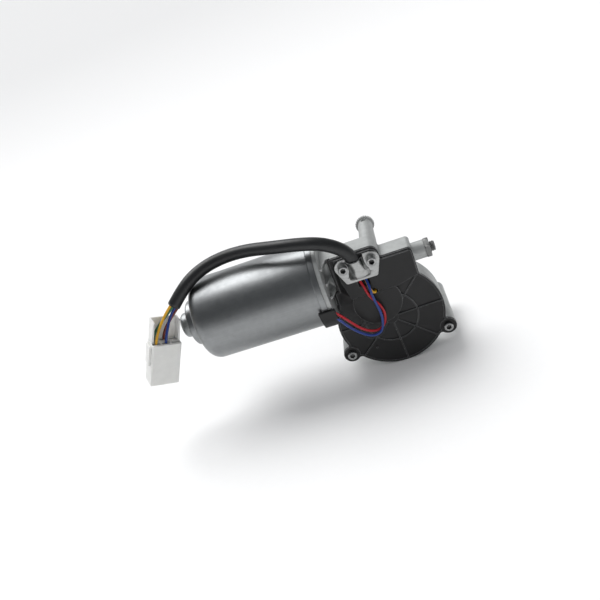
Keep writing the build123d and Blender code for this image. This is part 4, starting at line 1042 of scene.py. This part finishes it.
class MOTOR_OT_studio(MotorOperator, bpy.types.Operator):
    """Sets the floor, the lights and the camera"""

    bl_idname = "motor.studio"
    bl_label = "Studio"

    def execute(self, context):
        scene = context.scene
        settings = scene.motor_studio
        self.lay_floor(scene, settings)
        self.hang_lights(scene, settings)
        self.set_camera(scene)
        scene.view_settings.view_transform = "Standard"
        return {"FINISHED"}

    def lay_floor(self, scene, settings):
        """The paper lies just under the lowest lug."""
        low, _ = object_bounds()
        shape = sweep_shape(low.z - 0.3 * MM)
        mesh = bpy.data.meshes.new("studio_sweep")
        shape.to_mesh(mesh)
        shape.free()
        mesh.materials.append(matt_studio_paper(settings.floor))
        mesh.polygons.foreach_set("use_smooth", [True] * len(mesh.polygons))
        sheet = bpy.data.objects.new("studio_sweep", mesh)
        scene.collection.objects.link(sheet)
        sheet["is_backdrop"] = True

    def hang_lights(self, scene, settings):
        """Two wide lights and the dim room. A height of 90 degrees is overhead, and more is behind."""
        for name, power, wide, across, height in (
            ("Key", settings.key_power, 46, -20, 112),
            ("Fill", settings.fill_power, 150, -10, 72),
        ):
            light = bpy.data.lights.new(name, "SUN")
            light.energy = power
            light.angle = math.radians(wide)
            lamp = bpy.data.objects.new(name, light)
            tip = Matrix.Rotation(math.radians(90 - height), 4, "X")
            lamp.matrix_world = Matrix.Rotation(math.radians(across), 4, "Y") @ tip
            # The fill lifts the plastics and the floor, and leaves the metals' own reflections alone.
            lamp.visible_glossy = name == "Key"
            scene.collection.objects.link(lamp)
        room = bpy.data.worlds.new("studio_room")
        room.use_nodes = True
        background = room.node_tree.nodes["Background"]
        background.inputs["Color"].default_value = (*settings.surroundings, 1)
        background.inputs["Strength"].default_value = 1.0
        scene.world = room

    def set_camera(self, scene):
        """The camera looks down at the cover's side, tilted so that the can drops to the left."""
        lens = bpy.data.cameras.new("studio_camera")
        lens.lens = 41.68
        lens.sensor_width = 36
        lens.clip_start = 0.01
        place = Vector((0.04095, -0.63161, 0.32980))
        right = Vector((0.9366, 0.0134, -0.3503))
        up = Vector((0.3009, 0.4818, 0.8230))
        backward = Vector((0.1798, -0.8762, 0.4472))
        camera = bpy.data.objects.new("studio_camera", lens)
        turn = Matrix((right, up, backward)).transposed().to_4x4()
        camera.matrix_world = Matrix.Translation(place) @ turn
        scene.collection.objects.link(camera)
        scene.camera = camera


class MOTOR_PT_panel(bpy.types.Panel):
    """Lists the steps that build the motor's looks"""

    bl_label = "Wiper Motor"
    bl_idname = "MOTOR_PT_panel"
    bl_space_type = "VIEW_3D"
    bl_region_type = "UI"
    bl_category = "Wiper Motor"

    def draw(self, context):
        for operator in OPERATORS:
            self.layout.operator(operator.bl_idname)
        for group, settings in SETTINGS.items():
            box = self.layout.box()
            for name in settings.__annotations__:
                box.prop(getattr(context.scene, group), name)


SETTINGS = {"motor_finishes": MotorFinishes, "motor_forms": MotorForms, "motor_studio": StudioSettings}
OPERATORS = (
    MOTOR_OT_castings,
    MOTOR_OT_cover,
    MOTOR_OT_clamp,
    MOTOR_OT_can,
    MOTOR_OT_adjuster,
    MOTOR_OT_insert,
    MOTOR_OT_output_shaft,
    MOTOR_OT_cords,
    MOTOR_OT_inner_pieces,
    MOTOR_OT_studio,
)


def register():
    for group, settings in SETTINGS.items():
        bpy.utils.register_class(settings)
        setattr(bpy.types.Scene, group, PointerProperty(type=settings))
    for made in (*OPERATORS, MOTOR_PT_panel):
        bpy.utils.register_class(made)


def unregister():
    for made in reversed((*OPERATORS, MOTOR_PT_panel)):
        bpy.utils.unregister_class(made)
    for group, settings in reversed(SETTINGS.items()):
        delattr(bpy.types.Scene, group)
        bpy.utils.unregister_class(settings)


def main():
    register()
    for operator in OPERATORS:
        category, name = operator.bl_idname.split(".")
        getattr(getattr(bpy.ops, category), name)()


if __name__ == "__main__":
    main()
